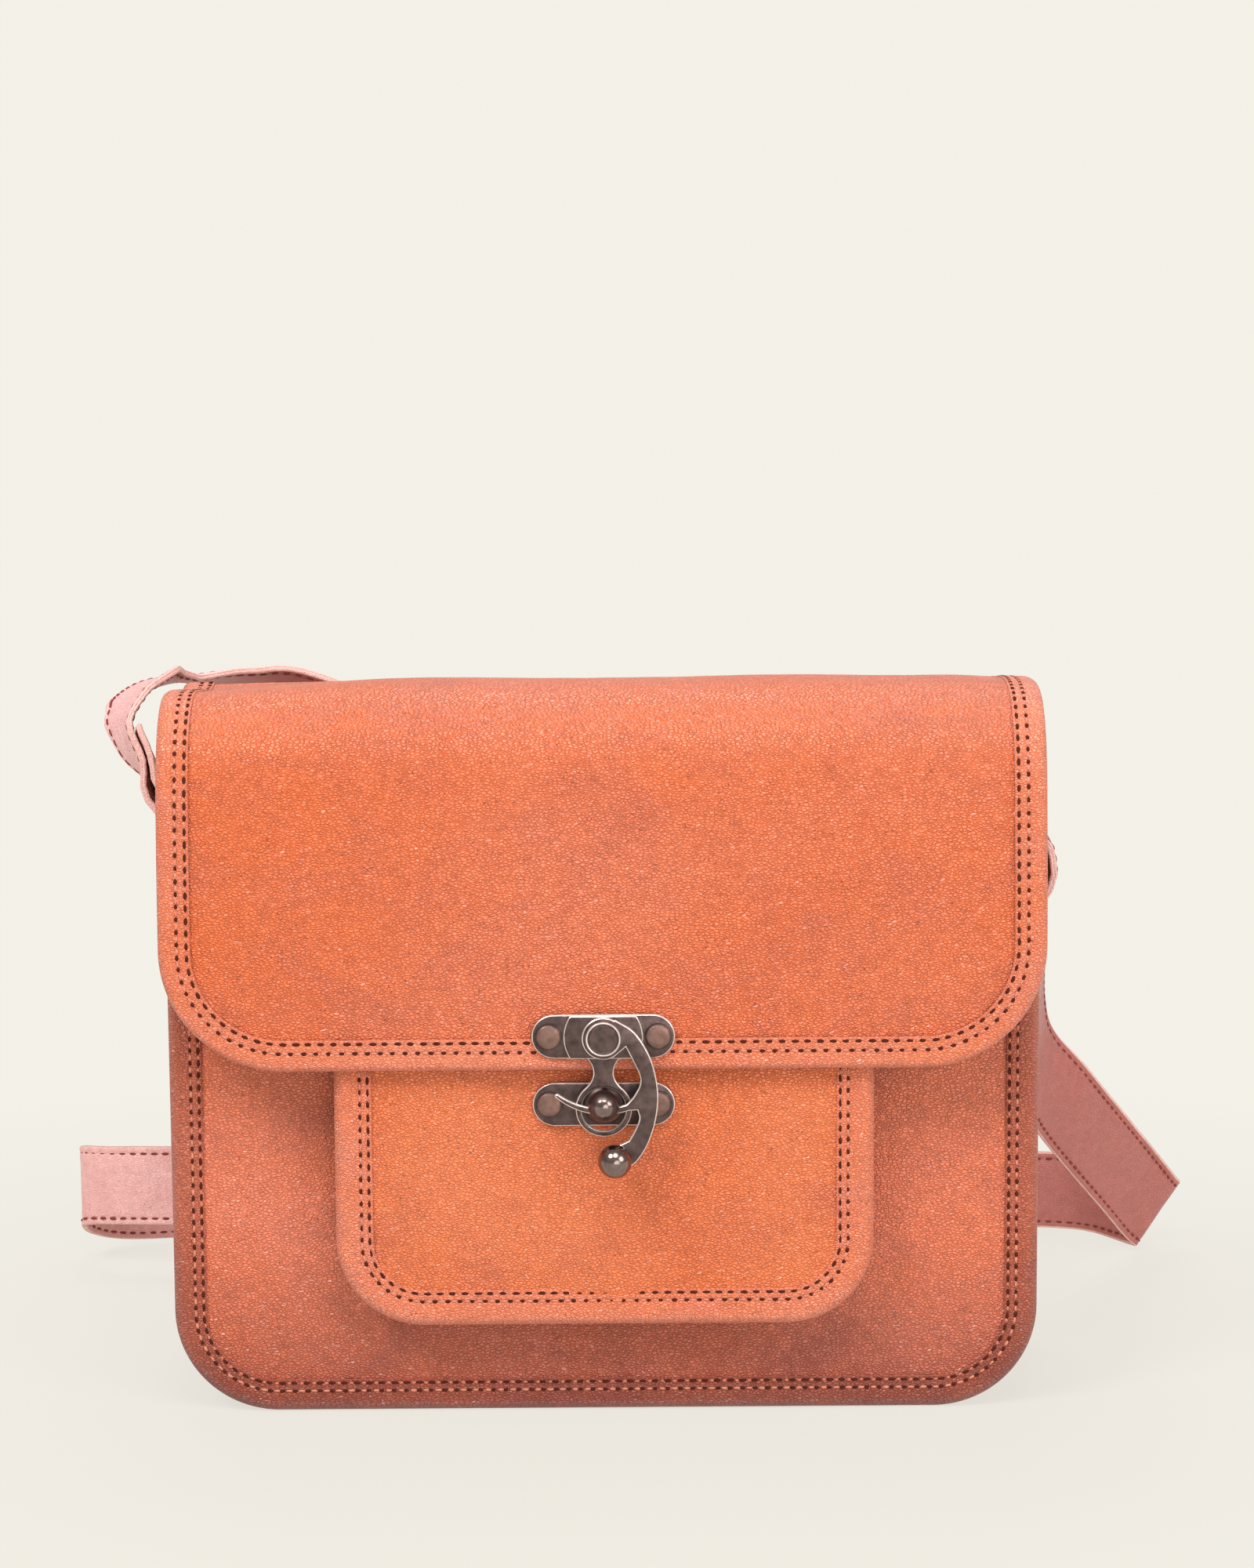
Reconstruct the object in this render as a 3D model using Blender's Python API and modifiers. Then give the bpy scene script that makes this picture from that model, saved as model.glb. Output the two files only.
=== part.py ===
# A small leather satchel with a front pocket, a full flap, a swing hook clasp and a
# shoulder strap that lies looped behind the bag. Metres, +Z up, the front faces -Y.
# The origin is the middle of the front rim's foot, on the surface the bag stands on.
import math

import bmesh
import bpy
from mathutils import Vector

# The bag's own box
HALF_WIDTH = 0.125
BODY_DEPTH = 0.068
BACK_HEIGHT = 0.200
FRONT_BELOW_BACK = 0.008
CORNER_RADIUS = 0.030

# Leather, tape and the clearance between neighbours
GAP = 0.0003
OVERRUN = 0.002
TAPE = 0.0010
PANEL = 0.0018
GUSSET_WALL = 0.0013
BINDING_WIDTH = 0.0095
GUSSET_INSET = 0.0102

# The pocket on the front
POCKET_HALF_WIDTH = 0.0769
POCKET_BOTTOM = 0.029
POCKET_TOP = 0.132
POCKET_RADIUS = 0.025
POCKET_BINDING_WIDTH = 0.0108
POCKET_INSET = 0.0113
POCKET_PROUD = 0.0130
POCKET_LEATHER = 0.0016
POCKET_WALL = 0.0010

# The flap: a domed top and a front that hangs to its lower edge
FLAP_OVERHANG = 0.0004
FLAP_SHEET = 0.0020
FLAP_BINDING_WIDTH = 0.0093
FLAP_RADIUS = 0.035
FLAP_EDGE_HEIGHT = 0.1048
FLAP_RISE = 0.0026
FLAP_CROWN = 0.0120
FLAP_FRONT_RISE = 0.0060
FLAP_SHOULDER = 0.0180
FLAP_REAR_INSET = 0.0010
HINGE_BEHIND = 0.0006
HINGE_UP = 0.0010

# The clasp
PLATE_LENGTH = 0.0405
PLATE_HEIGHT = 0.0126
HASP_PLATE = 0.0012
STUD_PLATE = 0.0012
LUG_RADIUS = 0.01125
LUG_THICKNESS = 0.0011
HOOK_THICKNESS = 0.0015
HOOK_REACH = 0.0210
HOOK_EYE_RADIUS = 0.0061
PRONG_WIDTH = 0.0020
NECK_WIDTH = 0.0058
NECK_FOOT_WIDTH = 0.0092
EYE_OUTER_RADIUS = 0.0080
EYE_INNER_RADIUS = 0.0064
CLASP_ABOVE_EDGE = 0.0103
RIVET_SPACING = 0.0155
RIVET_CAP_RADIUS = 0.0038
RIVET_CAP_HEIGHT = 0.0010
RIVET_SHANK_RADIUS = 0.0015
RIVET_BACK_RADIUS = 0.0034
RIVET_BACK_HEIGHT = 0.0011
PIVOT_CAP_RADIUS = 0.0050
PIVOT_CAP_HEIGHT = 0.0012
STUD_BASE_RADIUS = 0.0060
STUD_BASE_HEIGHT = 0.0026
STUD_POST_RADIUS = 0.0031
STUD_HOLE_RADIUS = 0.0017
STUD_BALL_RADIUS = 0.0037
KNOB_RADIUS = 0.0048
KNOB_NECK_RADIUS = 0.0014

# The strap, its rings and tabs, and the buckle
STRAP_WIDTH = 0.026
STRAP_THICKNESS = 0.0020
STRAP_TAIL = 0.036
TAB_PLY = 0.0018
TAB_LENGTH = 0.0255
RING_WIRE_RADIUS = 0.00175
RING_REACH = 0.0105
RING_BEFORE_RIM = 0.0032
RING_SIDE_CLEARANCE = 0.0008
RING_LEAN_LEFT = 52.0
RING_LEAN_RIGHT = -29.0
BUCKLE_WIRE_RADIUS = 0.0015
BUCKLE_LENGTH = 0.0220
BUCKLE_SIDE_CLEARANCE = 0.0010
BUCKLE_PLACE = 0.030
BUCKLE_TILT = 0.0035
PRONG_RADIUS = 0.0010
PRONG_SLOT_WIDTH = 0.0056
PRONG_SLOT_LENGTH = 0.0130
KEEPER_WIDTH = 0.0090
KEEPER_THICKNESS = 0.0014
KEEPER_PLACE = 0.0150
STRAP_END_LENGTH = 0.055
SHORT_END_LENGTH = 0.034

# How finely curves are faceted
QUARTER_STEPS = 7
TURN_STEPS = 24
CURVE_STEPS = 5
SPAN_LENGTH = 0.0085

# Where the strap runs: shares of the half width, the depth and the back height, a share
# of half the strap's width where it stands on its edge, and the outer side's direction.
LONG_ROUTE_SHARES = [
    (-1.100, 0.691, 0.898, 0.0, -0.74, -0.28, -0.58),
    (-1.140, 0.721, 0.940, 0.0, -0.90, -0.35, -0.22),
    (-1.160, 0.824, 0.983, 0.0, -0.86, -0.30, 0.38),
    (-1.142, 1.030, 1.007, 0.0, -0.59, -0.08, 0.80),
    (-1.116, 1.221, 1.021, 0.0, -0.27, 0.02, 0.94),
    (-1.068, 1.420, 1.021, 0.0, -0.09, 0.09, 0.98),
    (-0.968, 1.510, 1.011, 0.0, -0.05, 0.33, 0.94),
    (-0.864, 1.551, 1.003, 0.0, 0.10, 0.45, 0.88),
    (-0.732, 1.566, 0.976, 0.0, 0.18, 0.66, 0.72),
    (-0.440, 1.580, 0.875, 0.0, 0.25, 0.90, 0.35),
    (-0.120, 1.610, 0.740, 0.0, 0.30, 0.92, 0.15),
    (0.130, 1.650, 0.590, 0.0, 0.35, 0.92, 0.05),
    (0.200, 1.720, 0.430, 0.0, 0.25, 0.95, -0.05),
    (0.080, 1.840, 0.285, 0.0, -0.05, 0.95, -0.20),
    (-0.220, 2.000, 0.187, 0.0, -0.15, 0.95, -0.15),
    (-0.620, 2.120, 0.152, 0.0, -0.08, 0.99, 0.00),
    (-1.000, 2.190, 0.144, 0.0, -0.05, 1.00, 0.00),
    (-1.270, 2.250, 0.140, 0.0, 0.30, 0.95, 0.00),
    (-1.375, 2.400, 0.126, 0.0, 1.00, 0.10, 0.00),
    (-1.290, 2.640, 0.042, 0.60, 0.50, -0.85, 0.00),
    (-1.080, 2.790, 0.015, 0.85, 0.10, -1.00, 0.00),
    (-0.760, 2.880, 0.0, 1.02, 0.03, -1.00, 0.00),
    (-0.400, 2.925, 0.0, 1.05, 0.00, -1.00, 0.00),
]
SHORT_ROUTE_SHARES = [
    (1.040, 0.684, 0.736, 0.0, 0.97, -0.08, 0.05),
    (1.040, 0.801, 0.658, 0.0, 0.97, -0.20, -0.05),
    (1.050, 0.963, 0.573, 0.0, 0.98, -0.16, -0.06),
    (1.064, 1.235, 0.468, 0.0, 0.88, -0.43, -0.20),
    (1.092, 1.441, 0.390, 0.0, 0.68, -0.65, -0.34),
    (1.176, 1.718, 0.300, 0.0, 0.56, -0.73, -0.38),
    (1.356, 2.210, 0.141, 0.0, 0.57, -0.74, -0.36),
    (1.424, 2.397, 0.081, 0.0, 0.60, -0.70, -0.39),
    (1.445, 2.470, 0.064, 0.0, 0.82, -0.11, -0.56),
    (1.417, 2.543, 0.065, 0.0, 0.68, 0.57, -0.46),
    (1.312, 2.750, 0.070, 0.0, 0.62, 0.74, -0.15),
    (1.200, 2.860, 0.0, 1.05, 0.30, 0.95, 0.00),
    (0.944, 2.889, 0.0, 1.08, 0.03, 1.00, 0.00),
]
RUN_DEPTH_SHARE = 2.93
RING_HEIGHT_SHARE = 0.815

# The hook's outline in shares of its reach: (across, up) from its pivot, from the arm's
# outer edge round the tail to the inner edge and the prong that passes the stud.
HOOK_OUTER_SHARES = [
    (0.16, 0.26), (0.42, 0.09), (0.62, -0.23), (0.715, -0.57), (0.735, -0.86),
    (0.69, -1.17), (0.59, -1.46), (0.46, -1.67), (0.34, -1.78),
]
HOOK_TAIL_SHARES = [(0.22, -1.82), (0.03, -1.81), (-0.04, -1.65), (0.04, -1.50), (0.19, -1.47)]
HOOK_INNER_SHARES = [(0.335, -1.40), (0.42, -1.25), (0.475, -1.10), (0.45, -0.985)]
HOOK_THROAT_SHARES = [(0.40, -0.80), (0.48, -0.65), (0.485, -0.52), (0.40, -0.32), (0.30, -0.12)]
PRONG_START_SHARE = 0.105
PRONG_END_SHARE = -0.215
KNOB_SHARES = (0.145, -1.65)

# Levels from the front rim's middle plane towards the front of the bag
FRONT_HEIGHT = BACK_HEIGHT - FRONT_BELOW_BACK
FLAP_HALF_WIDTH = HALF_WIDTH + FLAP_OVERHANG
RIM_HALF = (PANEL + GUSSET_WALL + 3.0 * GAP) / 2.0 + TAPE
POCKET_FACE_Y = -POCKET_PROUD
POCKET_FRONT_Y = POCKET_FACE_Y - POCKET_LEATHER
POCKET_TAPE_Y = POCKET_FRONT_Y - GAP - TAPE
FLAP_BACK_Y = POCKET_TAPE_Y - GAP - TAPE - GAP
FLAP_MIDDLE_Y = FLAP_BACK_Y - FLAP_SHEET / 2.0
FLAP_FRONT_Y = FLAP_BACK_Y - FLAP_SHEET
FLAP_TAPE_Y = FLAP_FRONT_Y - GAP - TAPE
HASP_Y = FLAP_TAPE_Y - GAP
LUG_Y = HASP_Y - HASP_PLATE - GAP
HOOK_Y = LUG_Y - LUG_THICKNESS - GAP
STUD_PLATE_Y = POCKET_FRONT_Y - GAP
STUD_Y = STUD_PLATE_Y - STUD_PLATE - GAP
BACK_RIM_Y = BODY_DEPTH
HINGE_Y = BACK_RIM_Y + RIM_HALF + HINGE_BEHIND
HINGE_Z = BACK_HEIGHT + HINGE_UP
CLASP_Z = FLAP_EDGE_HEIGHT + CLASP_ABOVE_EDGE
STUD_Z = CLASP_Z - HOOK_REACH
RING_HALF_WIDTH = STRAP_WIDTH / 2.0 + RING_SIDE_CLEARANCE + RING_WIRE_RADIUS
RING_DEPTH = BACK_RIM_Y - RIM_HALF - RING_BEFORE_RIM - RING_HALF_WIDTH - RING_WIRE_RADIUS
RING_HEIGHT = RING_HEIGHT_SHARE * BACK_HEIGHT
RUN_Y = RUN_DEPTH_SHARE * BODY_DEPTH
BUCKLE_HALF_HEIGHT = STRAP_WIDTH / 2.0 + BUCKLE_SIDE_CLEARANCE + 2.0 * BUCKLE_WIRE_RADIUS
RUN_Z = BUCKLE_HALF_HEIGHT + GAP
PLY_STEP = STRAP_THICKNESS + GAP
BAR_STEP = BUCKLE_WIRE_RADIUS + GAP + STRAP_THICKNESS / 2.0

FACING_FRONT = (math.pi / 2.0, 0.0, 0.0)
FACING_SIDE = (math.pi / 2.0, 0.0, math.pi / 2.0)

for old in list(bpy.data.objects):
    bpy.data.objects.remove(old)

parts = bpy.data.collections.new("satchel")
cutters = bpy.data.collections.new("cutters")
bpy.context.scene.collection.children.link(parts)
bpy.context.scene.collection.children.link(cutters)


def material(name, colour, roughness, metallic):
    made = bpy.data.materials.new(name)
    made.use_nodes = True
    shader = made.node_tree.nodes["Principled BSDF"]
    shader.inputs["Base Color"].default_value = (*colour, 1.0)
    shader.inputs["Roughness"].default_value = roughness
    shader.inputs["Metallic"].default_value = metallic
    return made


LEATHER = material("tan leather", (0.72, 0.19, 0.08), 0.5, 0.0)
BINDING = material("binding leather", (0.60, 0.15, 0.07), 0.5, 0.0)
STRAP_LEATHER = material("strap leather", (0.66, 0.22, 0.12), 0.5, 0.0)
NICKEL = material("antique nickel", (0.16, 0.10, 0.08), 0.35, 1.0)


def place(obj, colour):
    """Put a finished piece among the parts, with its own copy of a material."""
    parts.objects.link(obj)
    own = colour.copy()
    own.name = obj.name
    obj.data.materials.clear()
    obj.data.materials.append(own)
    obj.data.set_sharp_from_angle(angle=math.radians(35.0))
    return obj


def as_cutter(obj):
    cutters.objects.link(obj)
    obj.hide_render = True
    obj.display_type = "WIRE"
    return obj


def mesh_from_curve(name, curve, rotation=(0.0, 0.0, 0.0), location=(0.0, 0.0, 0.0)):
    """Turn a curve into a welded mesh object that stands where the curve stood."""
    holder = bpy.data.objects.new(name + "_curve", curve)
    cutters.objects.link(holder)
    holder.rotation_euler = rotation
    holder.location = location
    bpy.context.view_layer.update()
    graph = bpy.context.evaluated_depsgraph_get()
    mesh = bpy.data.meshes.new_from_object(holder.evaluated_get(graph))
    mesh.name = name
    work = bmesh.new()
    work.from_mesh(mesh)
    bmesh.ops.remove_doubles(work, verts=work.verts, dist=GAP / 100.0)
    work.to_mesh(mesh)
    work.free()
    obj = bpy.data.objects.new(name, mesh)
    obj.matrix_world = holder.matrix_world
    bpy.data.objects.remove(holder)
    return obj


def plate(name, outline, front, back):
    """A flat outline of (x, z) points with a thickness along Y, from front to back."""
    curve = bpy.data.curves.new(name, "CURVE")
    curve.dimensions = "2D"
    curve.fill_mode = "BOTH"
    curve.extrude = (back - front) / 2.0
    spline = curve.splines.new("POLY")
    spline.points.add(len(outline) - 1)
    for point, (x, z) in zip(spline.points, outline):
        point.co = (x, z, 0.0, 1.0)
    spline.use_cyclic_u = True
    return mesh_from_curve(name, curve, FACING_FRONT, (0.0, (front + back) / 2.0, 0.0))


def rod(name, points, radius, closed=False, resolution=2):
    """A round wire through the points."""
    curve = bpy.data.curves.new(name, "CURVE")
    curve.dimensions = "3D"
    curve.bevel_depth = radius
    curve.bevel_resolution = resolution
    curve.use_fill_caps = not closed
    spline = curve.splines.new("POLY")
    spline.points.add(len(points) - 1)
    for point, place_of in zip(spline.points, points):
        point.co = (*place_of, 1.0)
    spline.use_cyclic_u = closed
    return mesh_from_curve(name, curve)


def ribbon(name, profile, half_width, thickness):
    """A sheet whose (y, z) profile is drawn out along X and given a thickness."""
    curve = bpy.data.curves.new(name, "CURVE")
    curve.dimensions = "3D"
    curve.extrude = half_width
    spline = curve.splines.new("POLY")
    spline.points.add(len(profile) - 1)
    for point, (y, z) in zip(spline.points, profile):
        point.co = (y, z, 0.0, 1.0)
    obj = mesh_from_curve(name, curve, FACING_SIDE)
    return thicken(obj, thickness)


def thicken(obj, thickness):
    shell = obj.modifiers.new("thickness", "SOLIDIFY")
    shell.thickness = thickness
    shell.offset = 0.0
    shell.use_even_offset = True
    return obj


def combine(obj, tool, operation):
    step = obj.modifiers.new(operation.lower(), "BOOLEAN")
    step.operation = operation
    step.solver = "EXACT"
    step.object = tool
    if not tool.users_collection:
        as_cutter(tool)
    return obj


def turned(name, profile, place_of, steps=TURN_STEPS):
    """A turned piece: (radius, height) points, its axis pointing to the bag's front."""
    mesh = bpy.data.meshes.new(name)
    points = [(radius, 0.0, height) for radius, height in profile]
    mesh.from_pydata(points, [(i, i + 1) for i in range(len(points) - 1)], [])
    obj = bpy.data.objects.new(name, mesh)
    obj.rotation_euler = FACING_FRONT
    obj.location = place_of
    screw = obj.modifiers.new("turn", "SCREW")
    screw.steps = steps
    screw.render_steps = steps
    screw.use_merge_vertices = True
    screw.merge_threshold = GAP / 10.0
    return obj


def pin(name, radius, place_of, front, back):
    """A plain round pin along Y, used to cut holes."""
    half = (back - front) / 2.0
    profile = [(0.0, half), (radius, half), (radius, -half), (0.0, -half)]
    x, z = place_of
    return turned(name, profile, (x, (front + back) / 2.0, z))


def arc(centre, radius, start, end, steps=QUARTER_STEPS):
    """Points of an arc, its angles in degrees."""
    x, z = centre
    turns = [math.radians(start + (end - start) * i / steps) for i in range(steps + 1)]
    return [(x + radius * math.cos(a), z + radius * math.sin(a)) for a in turns]


def bend(start, corner, end, steps=CURVE_STEPS):
    """Points of a curve that leaves start towards corner and arrives at end from it."""
    found = []
    for i in range(steps + 1):
        t = i / steps
        found.append(tuple(
            (1.0 - t) ** 2 * a + 2.0 * t * (1.0 - t) * b + t * t * c
            for a, b, c in zip(start, corner, end)
        ))
    return found


def pouch_outline(half_width, bottom, top, radius):
    """An upright outline with two round corners at its foot."""
    left = arc((-half_width + radius, bottom + radius), radius, 180.0, 270.0)
    right = arc((half_width - radius, bottom + radius), radius, 270.0, 360.0)
    return [(-half_width, top)] + left + right + [(half_width, top)]


def stadium(length, height, centre):
    """A bar outline with round ends."""
    x, z = centre
    radius = height / 2.0
    reach = length / 2.0 - radius
    left = arc((x - reach, z), radius, 90.0, 270.0, 2 * QUARTER_STEPS)
    right = arc((x + reach, z), radius, -90.0, 90.0, 2 * QUARTER_STEPS)
    return left + right


def body_outline(inset, top):
    return pouch_outline(HALF_WIDTH - inset, inset, top, CORNER_RADIUS - inset)


def pocket_outline(inset, top):
    return pouch_outline(
        POCKET_HALF_WIDTH - inset, POCKET_BOTTOM + inset, top, POCKET_RADIUS - inset
    )


def flap_outline(inset):
    """The flap's front, drawn well above its top so that it takes in the whole curve."""
    top = BACK_HEIGHT + FLAP_RADIUS
    return pouch_outline(FLAP_HALF_WIDTH - inset, FLAP_EDGE_HEIGHT + inset, top, FLAP_RADIUS - inset)


def bound_rim(name, outline, width, top, front, back):
    """A tape folded round the rim of a pouch: legs on both faces and a turned edge."""
    piece = plate(name, outline(0.0, top), front, back)
    inside = plate(name + "_inside", outline(width, top + OVERRUN), front - OVERRUN, back + OVERRUN)
    slot = plate(name + "_slot", outline(TAPE, top + OVERRUN), front + TAPE, back - TAPE)
    combine(piece, inside, "DIFFERENCE")
    combine(piece, slot, "DIFFERENCE")
    return place(piece, BINDING)


def make_body():
    edge = TAPE + GAP
    panel_front = -RIM_HALF + TAPE + GAP
    flange_front = panel_front + PANEL + GAP
    front = plate("front_panel", body_outline(edge, FRONT_HEIGHT), panel_front, panel_front + PANEL)
    place(front, LEATHER)
    bound_rim("front_binding", body_outline, BINDING_WIDTH, FRONT_HEIGHT, -RIM_HALF, RIM_HALF)

    back_face = BACK_RIM_Y - panel_front
    back = plate("back_panel", body_outline(edge, BACK_HEIGHT), back_face - PANEL, back_face)
    place(back, LEATHER)
    bound_rim(
        "back_binding", body_outline, BINDING_WIDTH, BACK_HEIGHT,
        BACK_RIM_Y - RIM_HALF, BACK_RIM_Y + RIM_HALF,
    )

    flange_back = BACK_RIM_Y - flange_front
    gusset = plate("gusset", body_outline(GUSSET_INSET, FRONT_HEIGHT), flange_front, flange_back)
    for label, start in (("front", flange_front), ("back", flange_back - GUSSET_WALL)):
        flange = plate(
            "gusset_flange_" + label, body_outline(edge, FRONT_HEIGHT), start, start + GUSSET_WALL
        )
        combine(gusset, flange, "UNION")
    hollow = plate(
        "gusset_hollow",
        body_outline(GUSSET_INSET + GUSSET_WALL, FRONT_HEIGHT + OVERRUN),
        flange_front - OVERRUN, flange_back + OVERRUN,
    )
    combine(gusset, hollow, "DIFFERENCE")
    place(gusset, LEATHER)


def make_pocket():
    edge = TAPE + GAP
    face = plate(
        "pocket_face", pocket_outline(edge, POCKET_TOP), POCKET_FRONT_Y, POCKET_FACE_Y
    )
    drill_row(face, STUD_Z, RIVET_SHANK_RADIUS + GAP, POCKET_FRONT_Y, POCKET_FACE_Y)
    place(face, LEATHER)

    flange_front = POCKET_FACE_Y + GAP
    tape_back = flange_front + POCKET_WALL + GAP + TAPE
    bound_rim(
        "pocket_binding", pocket_outline, POCKET_BINDING_WIDTH, POCKET_TOP, POCKET_TAPE_Y, tape_back
    )

    wall_back = -RIM_HALF + TAPE
    gusset = plate(
        "pocket_gusset", pocket_outline(POCKET_INSET, POCKET_TOP), flange_front, wall_back
    )
    flange = plate(
        "pocket_gusset_flange", pocket_outline(edge, POCKET_TOP),
        flange_front, flange_front + POCKET_WALL,
    )
    combine(gusset, flange, "UNION")
    deep = plate(
        "pocket_hollow", pocket_outline(POCKET_INSET + POCKET_WALL, POCKET_TOP + OVERRUN),
        flange_front - OVERRUN, wall_back - POCKET_WALL,
    )
    seam_inset = POCKET_INSET + BINDING_WIDTH
    through = plate(
        "pocket_window", pocket_outline(seam_inset, POCKET_TOP + OVERRUN),
        flange_front - OVERRUN, wall_back + OVERRUN,
    )
    combine(gusset, deep, "DIFFERENCE")
    combine(gusset, through, "DIFFERENCE")
    place(gusset, LEATHER)


def flap_profile():
    """The flap's middle surface as (y, z) points: its top, its front, and the fold's index."""
    rear = (BACK_RIM_Y + FLAP_REAR_INSET, BACK_HEIGHT + FLAP_RISE)
    crown = (BODY_DEPTH / 2.0, BACK_HEIGHT + FLAP_CROWN)
    brow = (BINDING_WIDTH / 2.0, BACK_HEIGHT + FLAP_FRONT_RISE)
    slope = (crown[1] - brow[1]) / (crown[0] - brow[0])
    lip_y = FLAP_MIDDLE_Y + FLAP_RADIUS / 5.0
    lip = (lip_y, brow[1] - slope * (brow[0] - lip_y))
    shoulder = (FLAP_MIDDLE_Y + FLAP_SHEET * 1.8, BACK_HEIGHT - FLAP_SHOULDER)
    hip_z = max(POCKET_TOP + 2.0 * FLAP_SHEET, FLAP_EDGE_HEIGHT + 0.9 * FLAP_RADIUS)
    hip = (FLAP_MIDDLE_Y, (shoulder[1] + hip_z) / 2.0)
    corner = bend(brow, lip, shoulder, 2 * CURVE_STEPS)
    top = bend(rear, crown, brow, 2 * CURVE_STEPS)[:-1] + corner[: CURVE_STEPS + 1]
    front = corner[CURVE_STEPS:] + bend(shoulder, hip, (FLAP_MIDDLE_Y, hip_z))[1:]
    front.append((FLAP_MIDDLE_Y, FLAP_EDGE_HEIGHT + FLAP_RADIUS / 2.0))
    front.append((FLAP_MIDDLE_Y, FLAP_EDGE_HEIGHT))
    return top, front


def shortened(points, length):
    """The same points with the first one moved along by a short length."""
    first = Vector(points[0])
    step = (Vector(points[1]) - first).normalized() * length
    return [tuple(first + step)] + points[1:]


def flap_fold():
    """The fold's axis: the outer side of the sheet and its tape at the front corner."""
    top, front = flap_profile()
    along = (Vector(front[1]) - Vector(top[-2])).normalized()
    outward = Vector((along[1], -along[0]))
    half = FLAP_SHEET / 2.0 + GAP + TAPE
    return Vector(front[0]) + outward * half


def make_flap_top(profile):
    """The flap's top and the tape along both of its side edges."""
    place(ribbon("flap_top", profile, FLAP_HALF_WIDTH - TAPE - GAP, FLAP_SHEET), LEATHER)
    half = FLAP_BINDING_WIDTH / 2.0
    for label, side in (("left", -1.0), ("right", 1.0)):
        name = "flap_top_binding_" + label
        tape = ribbon(name, profile, half, FLAP_SHEET + 2.0 * (GAP + TAPE))
        tape.location.x = side * (FLAP_HALF_WIDTH - half)
        slot = ribbon(name + "_slot", stretched(profile), half, FLAP_SHEET + 2.0 * GAP)
        slot.location.x = side * (FLAP_HALF_WIDTH - TAPE - half)
        combine(tape, slot, "DIFFERENCE")
        place(tape, BINDING)


def make_flap_front(profile):
    """The flap's front and the tape round its sides and lower edge."""
    ahead = FLAP_TAPE_Y - OVERRUN
    behind = BODY_DEPTH + RIM_HALF
    hole = RIVET_SHANK_RADIUS + GAP
    sheet = ribbon("flap_front", profile, FLAP_HALF_WIDTH - TAPE - GAP, FLAP_SHEET)
    outline = plate("flap_front_outline", flap_outline(TAPE + GAP), ahead, behind)
    combine(sheet, outline, "INTERSECT")
    drill_row(sheet, CLASP_Z, hole, FLAP_FRONT_Y, FLAP_BACK_Y)
    place(sheet, LEATHER)

    tape = ribbon("flap_binding", profile, FLAP_HALF_WIDTH, FLAP_SHEET + 2.0 * (GAP + TAPE))
    outer = plate("flap_binding_outline", flap_outline(0.0), ahead, behind)
    inner = plate(
        "flap_binding_inside", flap_outline(FLAP_BINDING_WIDTH), ahead - OVERRUN, behind + OVERRUN
    )
    slot = ribbon(
        "flap_binding_slot", stretched(profile), FLAP_HALF_WIDTH, FLAP_SHEET + 2.0 * GAP
    )
    reach = plate("flap_binding_reach", flap_outline(TAPE), ahead - OVERRUN, behind + OVERRUN)
    combine(slot, reach, "INTERSECT")
    combine(tape, outer, "INTERSECT")
    combine(tape, inner, "DIFFERENCE")
    combine(tape, slot, "DIFFERENCE")
    drill_row(tape, CLASP_Z, RIVET_BACK_RADIUS + GAP, FLAP_BACK_Y, FLAP_BACK_Y + TAPE)
    drill_row(tape, CLASP_Z, hole, FLAP_TAPE_Y, FLAP_FRONT_Y)
    place(tape, BINDING)


def make_flap():
    top, front = flap_profile()
    make_flap_top(shortened(top[::-1], GAP / 2.0)[::-1])
    make_flap_front(shortened(front, GAP / 2.0))


def stretched(points):
    """The same points with both ends drawn out a little, for a cut that runs clear."""
    first = Vector(points[0])
    last = Vector(points[-1])
    before = first + (first - Vector(points[1])).normalized() * OVERRUN
    after = last + (last - Vector(points[-2])).normalized() * OVERRUN
    return [tuple(before)] + points[1:-1] + [tuple(after)]


def rivet_places():
    return (("left", -RIVET_SPACING), ("right", RIVET_SPACING))


def drill(obj, x, z, radius, front, back):
    hole = pin(obj.name + "_hole", radius, (x, z), front - OVERRUN, back + OVERRUN)
    combine(obj, hole, "DIFFERENCE")


def drill_row(obj, z, radius, front, back):
    """The holes for the two rivets and for the pivot or stud between them."""
    for x in (-RIVET_SPACING, 0.0, RIVET_SPACING):
        drill(obj, x, z, radius, front, back)


def rivet(name, x, z, seat, back_seat, cap_radius, cap_height):
    """A set rivet: a domed cap, a shank through the layers and a head behind them."""
    length = back_seat - seat + 2.0 * GAP
    profile = [
        (0.0, cap_height),
        (cap_radius * 0.55, cap_height * 0.9),
        (cap_radius * 0.88, cap_height * 0.5),
        (cap_radius, 0.0),
        (RIVET_SHANK_RADIUS, 0.0),
        (RIVET_SHANK_RADIUS, -length),
        (RIVET_BACK_RADIUS, -length),
        (RIVET_BACK_RADIUS * 0.85, -length - RIVET_BACK_HEIGHT),
        (0.0, -length - RIVET_BACK_HEIGHT),
    ]
    return place(turned(name, profile, (x, seat - GAP, z)), NICKEL)


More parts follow.
